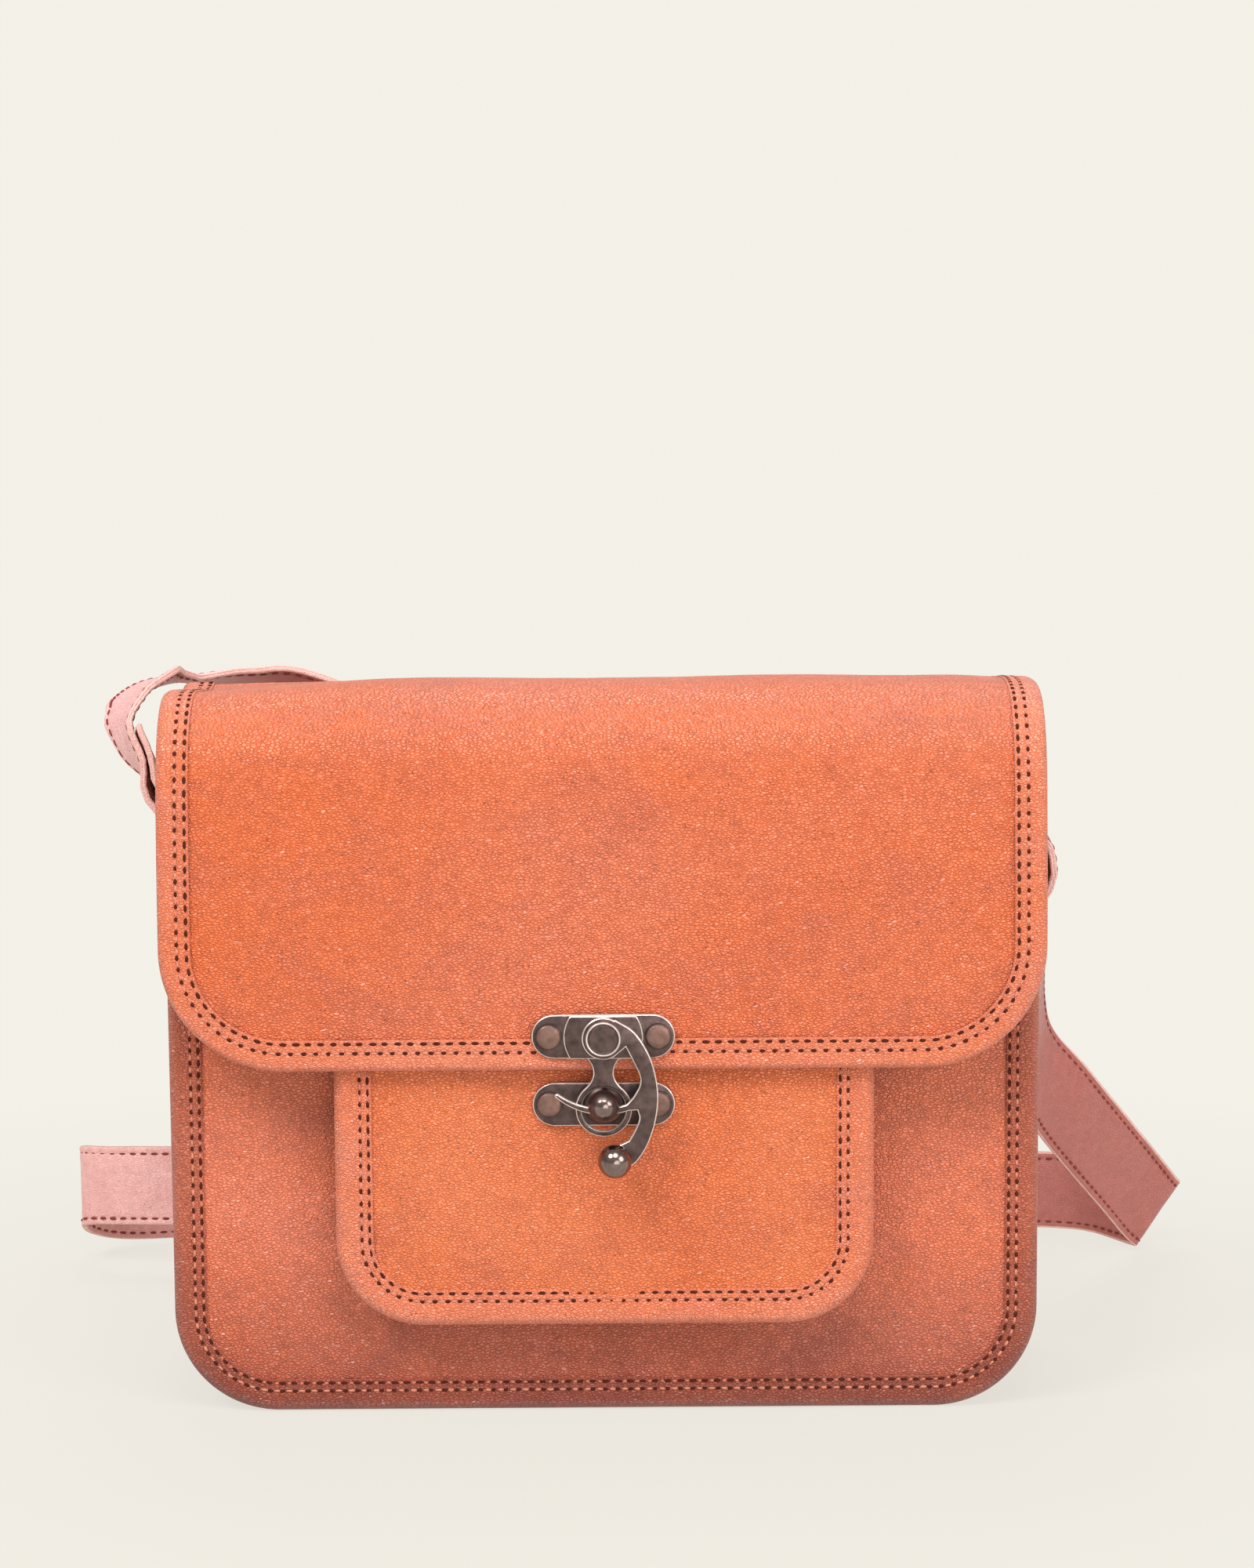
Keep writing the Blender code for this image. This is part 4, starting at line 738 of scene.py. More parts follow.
# the front pocket
pocket = {"halfWidth": 0.0769, "bottom": 0.029, "top": 0.132, "corner": 0.025, "middle": -0.01315,
          "faceY": -0.0146, "facePly": 0.0015, "faceSink": 0.00012, "faceEdge": 0.0030, "topGap": 0.0004,
          "swell": 0.0016, "dent": 0.0005, "fine": 0.00010, "claspClear": 0.008,
          "wallInset": 0.0118, "wall": 0.0010, "wallFront": -0.0127, "wallRear": -0.0020, "wallBend": 0.0018,
          "wallSwell": 0.0005, "wallEnd": 0.0205, "wallWave": 0.00025, "wallSteps": (0.0026, 0.0016)}
pocketRim = {"half": 0.00275, "tape": 0.0011, "width": 0.0108, "rows": (0.0075, 0.0097),
             "puff": 0.00040, "gather": 0.00020, "rough": 0.00016, "steps": (0.0011, 0.00042)}


def pocketLift(x, z):
    # the face swells between its edges, and lies flat under the clasp
    across = 1.0 - (x / pocket["halfWidth"]) ** 2
    up = (z - pocket["bottom"]) / (pocket["top"] - pocket["bottom"])
    arch = across * math.sin(math.pi * min(1.0, 0.15 + 0.85 * up))
    flat = nearClasp(x, z, clasp["studZ"] - pocket["claspClear"], clasp["studZ"] + pocket["claspClear"])
    lift = pocket["swell"] * max(0.0, arch) ** 0.8 * (0.1 + 0.9 * flat) * flat
    lift += pocket["dent"] * ripple(x, z, 32.0, 8.4) * flat + pocket["fine"] * ripple(x, z, 120.0, 2.8)
    return lift


def makePocket():
    surface, edge = plane(pocket["middle"]), pocket["faceEdge"]
    outline = (pocket["halfWidth"], pocket["bottom"], pocket["top"], pocket["corner"])
    grid = pouchGrid(pocket["halfWidth"] - edge, pocket["bottom"] + edge, pocket["top"] - pocket["topGap"],
                     pocket["corner"] - edge, 72, 40)
    face = pocket["faceY"] - pocket["middle"]
    outer = [[surface(x, z, -face + pocketLift(x, z) - pocket["faceSink"]) for x, z in row] for row in grid]
    inner = [[surface(x, z, -face - pocket["facePly"]) for x, z in row] for row in grid]
    panel = shell("pocketFace", outer, inner, "pocketHide")
    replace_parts(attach(panel, "body"), "pocket_face")

    stations = pouchStations(*outline, *pocketRim["steps"])
    rim = boundRim("pocketRim", pocketRim, stations, surface)
    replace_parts(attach(rim, "body"), "pocket_binding")
    sewn("pocketRimStitch", rimRails(pocketRim, stations, surface), onBody, 21)

    # the pocket's own narrow gusset, from the rim back to the front panel
    stations = pouchStations(*outline, *pocket["wallSteps"])
    half, inset, bend = pocket["wall"] / 2.0, pocket["wallInset"], pocket["wallBend"]
    front, rear = pocket["wallFront"] + half, pocket["wallRear"] - half
    rows = [(0.0018, front), (0.0090, front), (0.0108, front + 0.0004), (inset, front + bend)]
    rows += [(inset - pocket["wallSwell"] * math.sin(math.pi * i / 5),
              front + bend + (rear - front - 2.0 * bend) * i / 5) for i in range(1, 6)]
    rows += [(inset + 0.0009, rear - 0.0004), (inset + 0.0025, rear), (pocket["wallEnd"], rear)]

    def wavy(nx, z, along):
        return [(d + pocket["wallWave"] * ripple(along, y, 90.0, 4.4), y) for d, y in rows]

    wall = stripPiece("pocketGusset", stations, wavy, pocket["wall"])
    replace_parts(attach(wall, "body"), "pocket_gusset")
    print("pocket made")


# the flap
flap = {"halfWidth": 0.1254, "edge": 0.1048, "corner": 0.035, "half": 0.0010, "rise": 0.0026,
        "crown": 0.0129, "crownY": 0.020, "frontRise": 0.0086, "shoulder": 0.0180, "strip": 0.0180,
        "middleY": -0.0185, "rearY": 0.0735, "sheetEdge": 0.0030, "joinY": 0.047, "rimPress": 0.32,
        "leftDroop": 0.0014, "leftRearDroop": 0.0022, "rightDroop": 0.0012, "wave": 0.0011, "dent": 0.00045,
        "fine": 0.00009, "backStitchHalf": 0.112,
        "backStitchRows": (0.0030, 0.0058), "clear": 0.018, "hipShare": 0.9, "browIn": 0.0036,
        "rearOut": 0.0010, "rearTurn": (0.0020, 0.0009), "rearDrop": 0.0035, "cornerDrop": 0.0002,
        "joinGap": 0.0006}
flapRim = {"half": 0.0023, "tape": 0.0011, "width": 0.0093, "rows": (0.0055, 0.0082),
           "puff": 0.00020, "gather": 0.00005, "rough": 0.00012, "steps": (0.0024, 0.0016)}


def flapLine():
    # the sheet's middle from its lower edge up the front, over the top and down the back
    top = bag["backHeight"]
    rear = (bag["depth"] + flap["rearOut"], top + flap["rise"])
    crown = (flap["crownY"], top + flap["crown"])
    brow = (bag["rimWidth"] / 2.0, top + flap["frontRise"])
    slope = (crown[1] - brow[1]) / (crown[0] - brow[0])
    lipY = flap["middleY"] + flap["corner"] / 5.0
    lip = (lipY, brow[1] - slope * (brow[0] - lipY))
    shoulder = (flap["middleY"] + flap["browIn"], top - flap["shoulder"])
    hipZ = flap["edge"] + flap["hipShare"] * flap["corner"]
    hip = (flap["middleY"], (shoulder[1] + hipZ) / 2.0)
    line = [(flap["middleY"], flap["edge"]), (flap["middleY"], flap["edge"] + flap["corner"] / 2.0)]
    line += bendPoints((flap["middleY"], hipZ), hip, shoulder, 12)
    line += bendPoints(shoulder, lip, brow, 24)[1:]
    line += bendPoints(brow, crown, rear, 24)[1:-1]
    turn = (rear[0] - flap["rearTurn"][0], rear[1] + flap["rearTurn"][1])
    corner, foot = (flap["rearY"], rear[1] - flap["cornerDrop"]), (flap["rearY"], top - flap["rearDrop"])
    line += bendPoints(turn, corner, foot, 12)
    line.append((flap["rearY"], top - flap["strip"]))
    points = np.array(line)
    lengths = np.concatenate([[0.0], np.cumsum(np.linalg.norm(np.diff(points, axis=0), axis=1))])
    fine = np.linspace(0.0, lengths[-1], 700)
    y = np.interp(fine, lengths, points[:, 0])
    z = np.interp(fine, lengths, points[:, 1])
    weights = np.hanning(21)
    weights /= weights.sum()
    padded = (np.pad(v, 10, mode="reflect", reflect_type="odd") for v in (y, z))
    y, z = (np.convolve(v, weights, mode="valid") for v in padded)
    return fine, y, z


flapRun, flapY, flapZ = flapLine()
flapTotal = float(flapRun[-1])
flapDy = np.gradient(flapY, flapRun)
flapDz = np.gradient(flapZ, flapRun)


def flapSoft(x, up):
    away = nearClasp(x, up, 0.0, flap["clear"])
    wide = flap["wave"] * ripple(x, up, 11.0, 3.3) + flap["dent"] * ripple(x, up, 30.0, 6.6)
    return wide * away * easeStep(0.0, 0.03, up)


def flapDroop(x, up):
    # the top's ends hang a little lower than the middle, the left one most
    over = easeStep(0.075, 0.105, up)
    rear = flap["leftRearDroop"] * easeStep(0.108, 0.140, up)
    left = easeStep(0.055, 0.124, -x) * (flap["leftDroop"] * over + rear)
    right = flap["rightDroop"] * easeStep(0.098, 0.126, x) * over
    return (left + right) * (1.0 - easeStep(0.158, 0.182, up))


def flapSurface(x, up, level):
    s = min(max(up, 0.0), flapTotal)
    y, z, dy, dz = (float(np.interp(s, flapRun, values)) for values in (flapY, flapZ, flapDy, flapDz))
    size = math.hypot(dy, dz)
    lift = level + flapSoft(x, up)
    droop = flapDroop(x, up) * (abs(dy) / size)
    return Vector((x, y - dz / size * lift, z + dy / size * lift - droop))


def flapRimSurface(x, up, level):
    # the binding is pressed flatter over the top
    return flapSurface(x, up, level * (1.0 - flap["rimPress"] * easeStep(0.090, 0.120, up)))


def runAt(y):
    # how far along the sheet the top reaches a depth
    inside = [i for i in range(len(flapRun)) if flapZ[i] > bag["backHeight"] + 0.002]
    return float(flapRun[min(inside, key=lambda i: abs(flapY[i] - y))])


flapJoin = runAt(flap["joinY"])
# each bend: the two bodies, and where the sheet goes over from one to the other
frontBend = ("flap_top", "flap_front", (0.0, 0.0035, 0.2095), (0.0, -0.0175, 0.1850))
rearBend = ("body", "flap_top", (0.0, 0.0748, 0.1965), (0.0, 0.0640, 0.2078))


def bent(piece):
    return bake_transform(piece)


def makeFlap():
    edge = flap["sheetEdge"]
    radius = flap["corner"] - edge
    for name, low, high, bend, nodes in (
        ("flapLeather", edge, flapJoin, frontBend, ("flap_front", "flap_top")),
        ("flapRearLeather", flapJoin, flapTotal - flap["joinGap"], rearBend, ()),
    ):
        if low == edge:
            ups = [edge + radius * (1.0 - math.cos(math.pi / 2.0 * i / 14)) for i in range(14)]
            ups += list(np.linspace(edge + radius, high, 76))
        else:
            ups = list(np.linspace(low, high, 46))
        outer, inner = [], []
        for up in ups:
            width = pouchHalf(flap["halfWidth"] - edge, edge, radius, up)
            xs = [width * (2.0 * c / 104 - 1.0) for c in range(105)]
            fine = [flap["fine"] * ripple(x, up, 120.0, 1.9) for x in xs]
            outer.append([flapSurface(x, up, flap["half"] + f) for x, f in zip(xs, fine)])
            inner.append([flapSurface(x, up, -flap["half"]) for x in xs])
        sheet = shell(name, outer, inner, "hide")
        bent(sheet)
        if nodes:
            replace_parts(sheet, *nodes)

    stations = pouchStations(flap["halfWidth"], 0.0, flapTotal, flap["corner"], *flapRim["steps"])
    front = [s for s in stations if s[1] <= flapJoin]
    joinLeft = (-flap["halfWidth"], flapJoin, -1.0, 0.0, front[0][4], 0.0)
    joinRight = (flap["halfWidth"], flapJoin, 1.0, 0.0, front[-1][4], 0.0)
    front = [joinLeft] + front + [joinRight]
    left = [s for s in stations if s[1] > flapJoin and s[0] < 0.0] + [joinLeft]
    right = [joinRight] + [s for s in stations if s[1] > flapJoin and s[0] > 0.0]
    rim = boundRim("flapRim", flapRim, front, flapRimSurface)
    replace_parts(bent(rim), "flap_binding")
    for label, rows, node in (("Left", left, "flap_top_binding_left"),
                              ("Right", right, "flap_top_binding_right")):
        piece = boundRim("flapRearRim" + label, flapRim, rows, flapRimSurface)
        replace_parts(bent(piece), node)
    for label, rows, bend, seed in (("front", front, frontBend, 31), ("rearLeft", left, rearBend, 32),
                                    ("rearRight", right, rearBend, 33)):
        rails = rimRails(flapRim, rows, flapRimSurface) + rimRails(flapRim, rows, flapRimSurface, -1.0)
        sewn(label + "FlapStitch", rails, lambda made, b=bend: bent(made), seed)
    # two rows hold the flap's strip to the back
    rails, reach = [], flap["backStitchHalf"]
    for up in flap["backStitchRows"]:
        rail = []
        for i in range(61):
            x = -reach + 2.0 * reach * i / 60
            point = flapSurface(x, flapTotal - up, flap["half"] + 0.0001)
            rail.append((point, (flapSurface(x, flapTotal - up, 0.003) - point).normalized()))
        rails.append(rail)
    sewn("backStripStitch", rails, onBody, 34, ("outer",))
    print("flap made, its sheet is", round(flapTotal, 4), "m long")


# the clasp

claspLook = {
    "plateLength": 0.0405, "plateHeight": 0.0126, "haspFront": -0.0223, "haspBack": -0.0211,
    "lugFront": -0.0237, "lugBack": -0.0226, "hookFront": -0.0255, "hookBack": -0.0240,
    "studPlateFront": -0.0161, "studPlateBack": -0.0149, "bevel": 0.00052, "hookBevel": 0.00060,
    "eyeOuter": 0.0080, "eyeInner": 0.00625, "neck": 0.0058, "neckFoot": 0.0092, "rivetSpacing": 0.0155,
    "lugRadius": 0.01125, "lugTrim": 0.0001,
}
studLook = {
    "ball": 0.0044, "neckOut": 0.0013, "ballOut": -0.0005, "ballSweep": 123.0, "raise": 0.0018,
    "raiseFrom": 0.0040, "raiseTo": 0.0066, "bowl": 0.0058, "bowlHeight": 0.0026,
    "bore": 0.0017, "boreReach": 0.008,
    "neck": ((0.0030, -0.0024), (0.0028, -0.0040)), "neckFoot": (0.0030, 0.0027),
    "foot": ((0.0060, -0.0001), (0.0060, -0.0005), (0.0015, -0.0005), (0.0015, -0.0031),
             (0.0034, -0.0031), (0.0032, -0.0042), (0.0, -0.0043)),
}
knobLook = {
    "ball": 0.0048, "out": 0.0029, "sweep": 127.0,
    "neck": ((0.0021, -0.0002), (0.0021, -0.0020), (0.0026, -0.0020), (0.0024, -0.0028), (0.0, -0.0030)),
}


def stadiumLine(length, height, cx, cz, steps=20):
    radius = height / 2.0
    reach = length / 2.0 - radius
    return (arcPoints(cx - reach, cz, radius, 90.0, 270.0, steps)
            + arcPoints(cx + reach, cz, radius, -90.0, 90.0, steps))


def cutPlate(name, outlines, front, back, bevel):
    # a sheet-metal blank with rounded, rubbed edges; later outlines are its holes
    curve = bpy.data.curves.new(name, "CURVE")
    curve.dimensions = "2D"
    curve.fill_mode = "BOTH"
    curve.extrude = (back - front) / 2.0 - bevel
    curve.bevel_depth = bevel
    curve.bevel_resolution = 3
    curve.offset = -bevel
    for outline in outlines:
        spline = curve.splines.new("POLY")
        spline.points.add(len(outline) - 1)
        for point, (x, z) in zip(spline.points, outline):
            point.co = (x, z, 0.0, 1.0)
        spline.use_cyclic_u = True
    holder = bpy.data.objects.new(name + "Curve", curve)
    scene.collection.objects.link(holder)
    mesh = finalMesh(holder)
    bpy.data.objects.remove(holder)
    mesh.name = name
    upright = Matrix.Rotation(math.pi / 2.0, 4, "X")
    mesh.transform(Matrix.Translation((0.0, (front + back) / 2.0, 0.0)) @ upright)
    mesh.materials.clear()
    mesh.materials.append(finishes["nickel"])
    mesh.materials.append(finishes["nickelWorn"])
    made = weldedObject(name, mesh, 40.0, 2e-6)
    for face in made.data.polygons:
        face.material_index = 0 if abs(face.normal.y) > 0.97 else 1
    return made


def turnedPiece(name, profile, x, y, z, finish, marks=None, steps=40, bright="nickelWorn"):
    # (radius, height) pairs turned about an axis that points to the front
    rings, points, faces, paint = [], [], [], []
    for radius, height in profile:
        if radius < 1e-7:
            rings.append([len(points)])
            points.append((x, y - height, z))
        else:
            rings.append(list(range(len(points), len(points) + steps)))
            points += [(x + radius * math.cos(2 * math.pi * i / steps), y - height,
                        z + radius * math.sin(2 * math.pi * i / steps)) for i in range(steps)]
    for k, (a, b) in enumerate(zip(rings, rings[1:])):
        for i in range(steps):
            j = (i + 1) % steps
            if len(a) == 1:
                faces.append((a[0], b[i], b[j]))
            elif len(b) == 1:
                faces.append((a[i], b[0], a[j]))
            else:
                faces.append((a[i], b[i], b[j], a[j]))
            paint.append(marks[k] if marks else 0)
    return meshObject(name, points, faces, [finishes[finish], finishes[bright]], paint, 38.0)

# caps as (radius, height) pairs from the middle outwards, and the head behind the leather
riveting = {
    "cap": ((0.0, 0.00096), (0.0020, 0.00094), (0.0031, 0.00088), (0.0033, 0.00078), (0.0034, 0.00060),
            (0.0035, 0.00060), (0.0037, 0.00052), (0.0038, 0.00024), (0.0038, -0.0002), (0.0015, -0.0002)),
    "capMarks": (0, 0, 0, 1, 1, 1, 1, 1, 0, 0, 0, 0, 0),
    "pivotCap": ((0.0, 0.00100), (0.0039, 0.00096), (0.0041, 0.00080), (0.0042, 0.00060), (0.00435, 0.00060),
                 (0.0045, 0.00094), (0.0047, 0.00102), (0.0049, 0.00086), (0.0050, 0.00050),
                 (0.0050, -0.0002), (0.0015, -0.0002)),
    "pivotMarks": (0, 0, 0, 0, 1, 1, 1, 1, 0, 0, 0, 0, 0, 0),
    "head": ((0.0015, 0.0002), (0.0034, 0.0002), (0.0030, 0.0012), (0.0, 0.0013)),
    "flapBack": -0.0175, "pocketBack": -0.0130,
}


def capAndHead(cap, length):
    return list(cap) + [(radius, -length - depth) for radius, depth in riveting["head"]]


def rivetPiece(name, x, z, seat, body, node, behind):
    profile = capAndHead(riveting["cap"], behind - seat)
    made = turnedPiece(name, profile, x, seat, z, "nickelRivet", riveting["capMarks"], 36, "nickel")
    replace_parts(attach(made, body), node)



def smoothed(values, counts):
    ends = [2.0 * values[0] - values[1]] + values + [2.0 * values[-1] - values[-2]]
    found = []
    for count, a, b, c, d in zip(counts, ends, ends[1:], ends[2:], ends[3:]):
        for i in range(count):
            t = i / count
            found.append(0.5 * (2.0 * b + (c - a) * t + (2.0 * a - 5.0 * b + 4.0 * c - d) * t * t
                                + (3.0 * b - a - 3.0 * c + d) * t ** 3))
    found.append(values[-1])
    return found


def rounded(pairs, steps=6):
    values = [Vector(p) for p in pairs]
    return [tuple(p) for p in smoothed(values, [steps] * (len(values) - 1))]


# the hook's outline in shares of its reach, as the solid has it
hookShares = {
    "outer": [(0.16, 0.26), (0.42, 0.09), (0.62, -0.23), (0.715, -0.57), (0.735, -0.86),
              (0.69, -1.17), (0.59, -1.46), (0.46, -1.67), (0.34, -1.78)],
    "tail": [(0.22, -1.82), (0.03, -1.81), (-0.04, -1.65), (0.04, -1.50), (0.19, -1.47)],
    "inner": [(0.335, -1.40), (0.42, -1.25), (0.475, -1.10), (0.45, -0.985)],
    "throat": [(0.40, -0.80), (0.48, -0.65), (0.485, -0.52), (0.40, -0.32), (0.30, -0.12)],
    "prongStart": 0.105, "prongEnd": -0.215, "knob": (0.145, -1.65), "prongWidth": 0.0020, "eye": 0.0061,
    "prongThins": 0.35,
}


def hookLine():
    reach, half = clasp["reach"], hookShares["prongWidth"] / clasp["reach"] / 2.0
    start, end = (math.degrees(hookShares[key] * math.pi) for key in ("prongStart", "prongEnd"))
    head = arcPoints(0.0, 0.0, hookShares["eye"] / reach, 300.0, 60.0, 48)
    under, over = [], []
    for i in range(25):  # the prong thins towards its tip
        t = i / 24
        thin = half * (1.0 - hookShares["prongThins"] * t ** 3)
        angle = math.radians(-90.0 + start + (end - start) * t)
        under.append(((1.0 + thin) * math.cos(angle), (1.0 + thin) * math.sin(angle)))
        over.append(((1.0 - thin) * math.cos(angle), (1.0 - thin) * math.sin(angle)))
    tip = math.radians(-90.0 + end)
    cx, cz, r = math.cos(tip), math.sin(tip), half * (1.0 - hookShares["prongThins"])
    nose = [(cx + r * math.cos(tip - a), cz + r * math.sin(tip - a)) for a in (0.5, 1.0, 1.57, 2.1, 2.6)]
    shape = head + rounded(hookShares["outer"]) + rounded(hookShares["tail"]) + rounded(hookShares["inner"])
    shape += under + nose + over[::-1] + rounded(hookShares["throat"])
    return [(x * reach, clasp["pivotZ"] + z * reach) for x, z in shape]


def haspLine():
    look = claspLook
    half = look["plateHeight"] / 2.0
    end = look["plateLength"] / 2.0 - half
    foot = clasp["pivotZ"] - half
    left = arcPoints(-end, clasp["pivotZ"], half, 90.0, 268.0, 24)
    ring = arcPoints(0.0, clasp["studZ"], look["eyeOuter"], 130.0, 410.0, 60)
    waist = (-look["neck"] / 2.0, (foot + ring[0][1]) / 2.0)
    start = (-look["neckFoot"] / 2.0, foot - 0.0001)
    neck = bendPoints(start, (waist[0], (foot + waist[1]) / 2.0), waist, 8)[:-1]
    neck += bendPoints(waist, (waist[0], (waist[1] + ring[0][1]) / 2.0), ring[0], 8)[:-1]
    return left + neck + ring + [(-x, z) for x, z in reversed(left + neck)]


def ballProfile(radius, middle, sweep, steps):
    turns = [math.radians(sweep) * i / steps for i in range(steps + 1)]
    return [(radius * math.sin(a), middle + radius * math.cos(a)) for a in turns]


def makeStud(foot, hole):
    # a bowl-shaped foot, a neck with a cross hole and a ball
    look, z = studLook, clasp["studZ"]
    out = foot - hole + look["neckOut"]
    profile = ballProfile(look["ball"], out + look["ballOut"], look["ballSweep"], 18)
    profile += [(radius, out + height) for radius, height in look["neck"]] + [look["neckFoot"]]
    profile += [(look["bowl"] * math.cos(a), look["bowlHeight"] * math.sin(a))
                for a in (math.radians(58.0 - 5.8 * i) for i in range(11))]
    profile += look["foot"]
    marks = [0] * 5 + [1] * (len(profile) - 6)
    stud = turnedPiece("studPost", profile, 0.0, foot, z, "nickelBall", marks, 44, "nickel")
    for vertex in stud.data.vertices:
        vertex.co.z += look["raise"] * easeStep(look["raiseFrom"], look["raiseTo"], foot - vertex.co.y)
    ends = [(x, hole, z) for x in (-look["boreReach"], look["boreReach"])]
    carve(stud, wireLoop("studBore", ends, look["bore"], "nickel", False, 20))
    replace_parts(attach(stud, "body"), "stud_post")
    return stud


def makeClasp():
    look, pivotZ, studZ = claspLook, clasp["pivotZ"], clasp["studZ"]
    hasp = cutPlate("haspPlate", [haspLine(), arcPoints(0.0, studZ, look["eyeInner"], 0.0, 354.0, 59)],
                    look["haspFront"], look["haspBack"], look["bevel"])
    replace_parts(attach(hasp, "flap_front"), "hasp_plate")
    base = cutPlate("studPlate", [stadiumLine(look["plateLength"], look["plateHeight"], 0.0, studZ)],
                    look["studPlateFront"], look["studPlateBack"], look["bevel"])
    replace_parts(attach(base, "body"), "stud_plate")
    radius = look["lugRadius"]
    cut = math.degrees(math.asin((look["plateHeight"] / 2.0 - look["lugTrim"]) / radius))
    lugLine = arcPoints(0.0, pivotZ, radius, -cut, cut, 14)
    lugLine += arcPoints(0.0, pivotZ, radius, 180.0 - cut, 180.0 + cut, 14)
    lug = cutPlate("hookLug", [lugLine], look["lugFront"], look["lugBack"], look["bevel"])
    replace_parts(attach(lug, "flap_front"), "hook_lug")
    hook = cutPlate("claspHook", [hookLine()], look["hookFront"], look["hookBack"], look["hookBevel"])
    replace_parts(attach(hook, "hook"), "clasp_hook")

    for label, side in (("left", -1.0), ("right", 1.0)):
        x = side * look["rivetSpacing"]
        rivetPiece("haspRivet" + label.title(), x, pivotZ, look["haspFront"], "flap_front",
                   "hasp_rivet_" + label, riveting["flapBack"])
        rivetPiece("studRivet" + label.title(), x, studZ, look["studPlateFront"], "body",
                   "stud_rivet_" + label, riveting["pocketBack"])

    # the pivot: a flat cap inside a raised ring
    seat = look["hookFront"]
    cap = capAndHead(riveting["pivotCap"], riveting["flapBack"] - seat)
    pivot = turnedPiece("hookPivot", cap, 0.0, seat, pivotZ, "nickel", riveting["pivotMarks"], 44)
    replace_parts(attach(pivot, "flap_front"), "hook_pivot")
    stud = makeStud(look["studPlateFront"], look["hookFront"] / 2.0 + look["hookBack"] / 2.0)

    x, z = (share * clasp["reach"] for share in hookShares["knob"])
    line = ballProfile(knobLook["ball"], knobLook["out"], knobLook["sweep"], 22) + list(knobLook["neck"])
    knob = turnedPiece("hookKnob", line, x, seat, pivotZ + z, "nickelBall", None, 48)
    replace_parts(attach(knob, "hook"), "hook_knob")
    print("clasp made")


# the shoulder strap
strap = {
    "width": 0.026, "thick": 0.0020, "tail": 0.024, "wire": 0.00175, "gap": 0.0003, "ringReach": 0.0105,
    "ringZ": 0.163, "ringY": 0.0445, "ringInset": 0.0102, "ringSlack": 0.0008,
    "leanLeft": 52.0, "leanRight": -29.0, "tabPly": 0.0018, "tabLength": 0.0255, "tabTaper": 0.004,
    "buckleWire": 0.0015, "buckleLength": 0.0220, "bucklePlace": 0.030, "buckleTilt": 0.0035,
    "buckleSlack": 0.0010, "endLength": 0.055, "shortEnd": 0.034, "prong": 0.0010, "prongDip": 0.0004,
    "holeRadius": 0.0028, "holeLength": 0.0130, "keeperWidth": 0.0090, "keeperThick": 0.0014,
    "keeperPlace": 0.0150, "keeperRound": 0.0006, "rowInset": 0.0022, "step": 0.0026, "closest": 0.0009,
    "wave": 0.0006, "tipTaper": 0.011, "runDepthShare": 2.93,
    "stitchSink": 0.00012, "tailEase": 0.6, "plySlack": 1.15,
    "stitchInset": 0.0034, "stitchHalf": 0.0098, "stitchTop": 0.0008, "tabPitch": 0.0030,
    # shares of painted shade: the short strap, the end by the buckle, the tabs and keeper, and where it starts and ends
    # on the long strap
    "shortOuterShade": 0.82, "shortInnerShade": 0.74, "endShade": 0.76, "tabShade": 0.6,
    "archShade": (0.10, 0.24, 0.36), "underShade": (0.22, 0.40, 0.90), "buckleShade": (0.58, 0.68),
}
sectionLook = {"round": 0.0007, "roundShare": 0.35, "border": 0.0013, "groove": 0.00026,
               "grooveHalf": 0.00045, "crown": 0.00016, "seam": 0.00016, "seamHalf": 0.0005, "beside": (0.0004, 0.0012),
               "shares": (0.62, 0.40, 0.18, 0.0)}
# shares of the half width, depth and height, a share of half the strap's width, and the outer side
longShares = [
    (-1.078, 0.689, 0.906, 0.0, -0.85, -0.18, -0.40), (-1.127, 0.750, 0.950, 0.0, -0.96, -0.24, -0.05),
    (-1.128, 0.846, 0.993, 0.0, -0.77, -0.31, 0.51), (-1.104, 0.979, 1.010, 0.0, -0.53, -0.15, 0.83),
    (-1.104, 1.213, 1.006, 0.0, -0.38, -0.02, 0.92), (-1.060, 1.390, 1.009, 0.0, -0.20, 0.02, 0.98),
    (-0.972, 1.493, 1.008, 0.0, 0.00, 0.22, 0.97), (-0.864, 1.545, 0.998, 0.0, 0.08, 0.42, 0.90),
    (-0.732, 1.566, 0.976, 0.0, 0.18, 0.66, 0.72), (-0.440, 1.580, 0.875, 0.0, 0.25, 0.90, 0.35),
    (-0.120, 1.610, 0.740, 0.0, 0.30, 0.92, 0.15), (0.130, 1.650, 0.590, 0.0, 0.35, 0.92, 0.05),
    (0.200, 1.720, 0.430, 0.0, 0.25, 0.95, -0.05), (0.080, 1.840, 0.285, 0.0, -0.05, 0.95, -0.20),
    (-0.220, 2.000, 0.187, 0.0, -0.15, 0.95, -0.15), (-0.620, 2.120, 0.152, 0.0, -0.08, 0.99, 0.00),
    (-1.000, 2.190, 0.144, 0.0, -0.05, 1.00, 0.00), (-1.270, 2.250, 0.140, 0.0, 0.30, 0.95, 0.00),
    (-1.375, 2.400, 0.126, 0.0, 1.00, 0.10, 0.00), (-1.290, 2.640, 0.042, 0.60, 0.50, -0.85, 0.00),
    (-1.080, 2.790, 0.015, 0.85, 0.10, -1.00, 0.00), (-0.760, 2.880, 0.0, 1.02, 0.03, -1.00, 0.00),
    (-0.400, 2.925, 0.0, 1.05, 0.00, -1.00, 0.00),
]
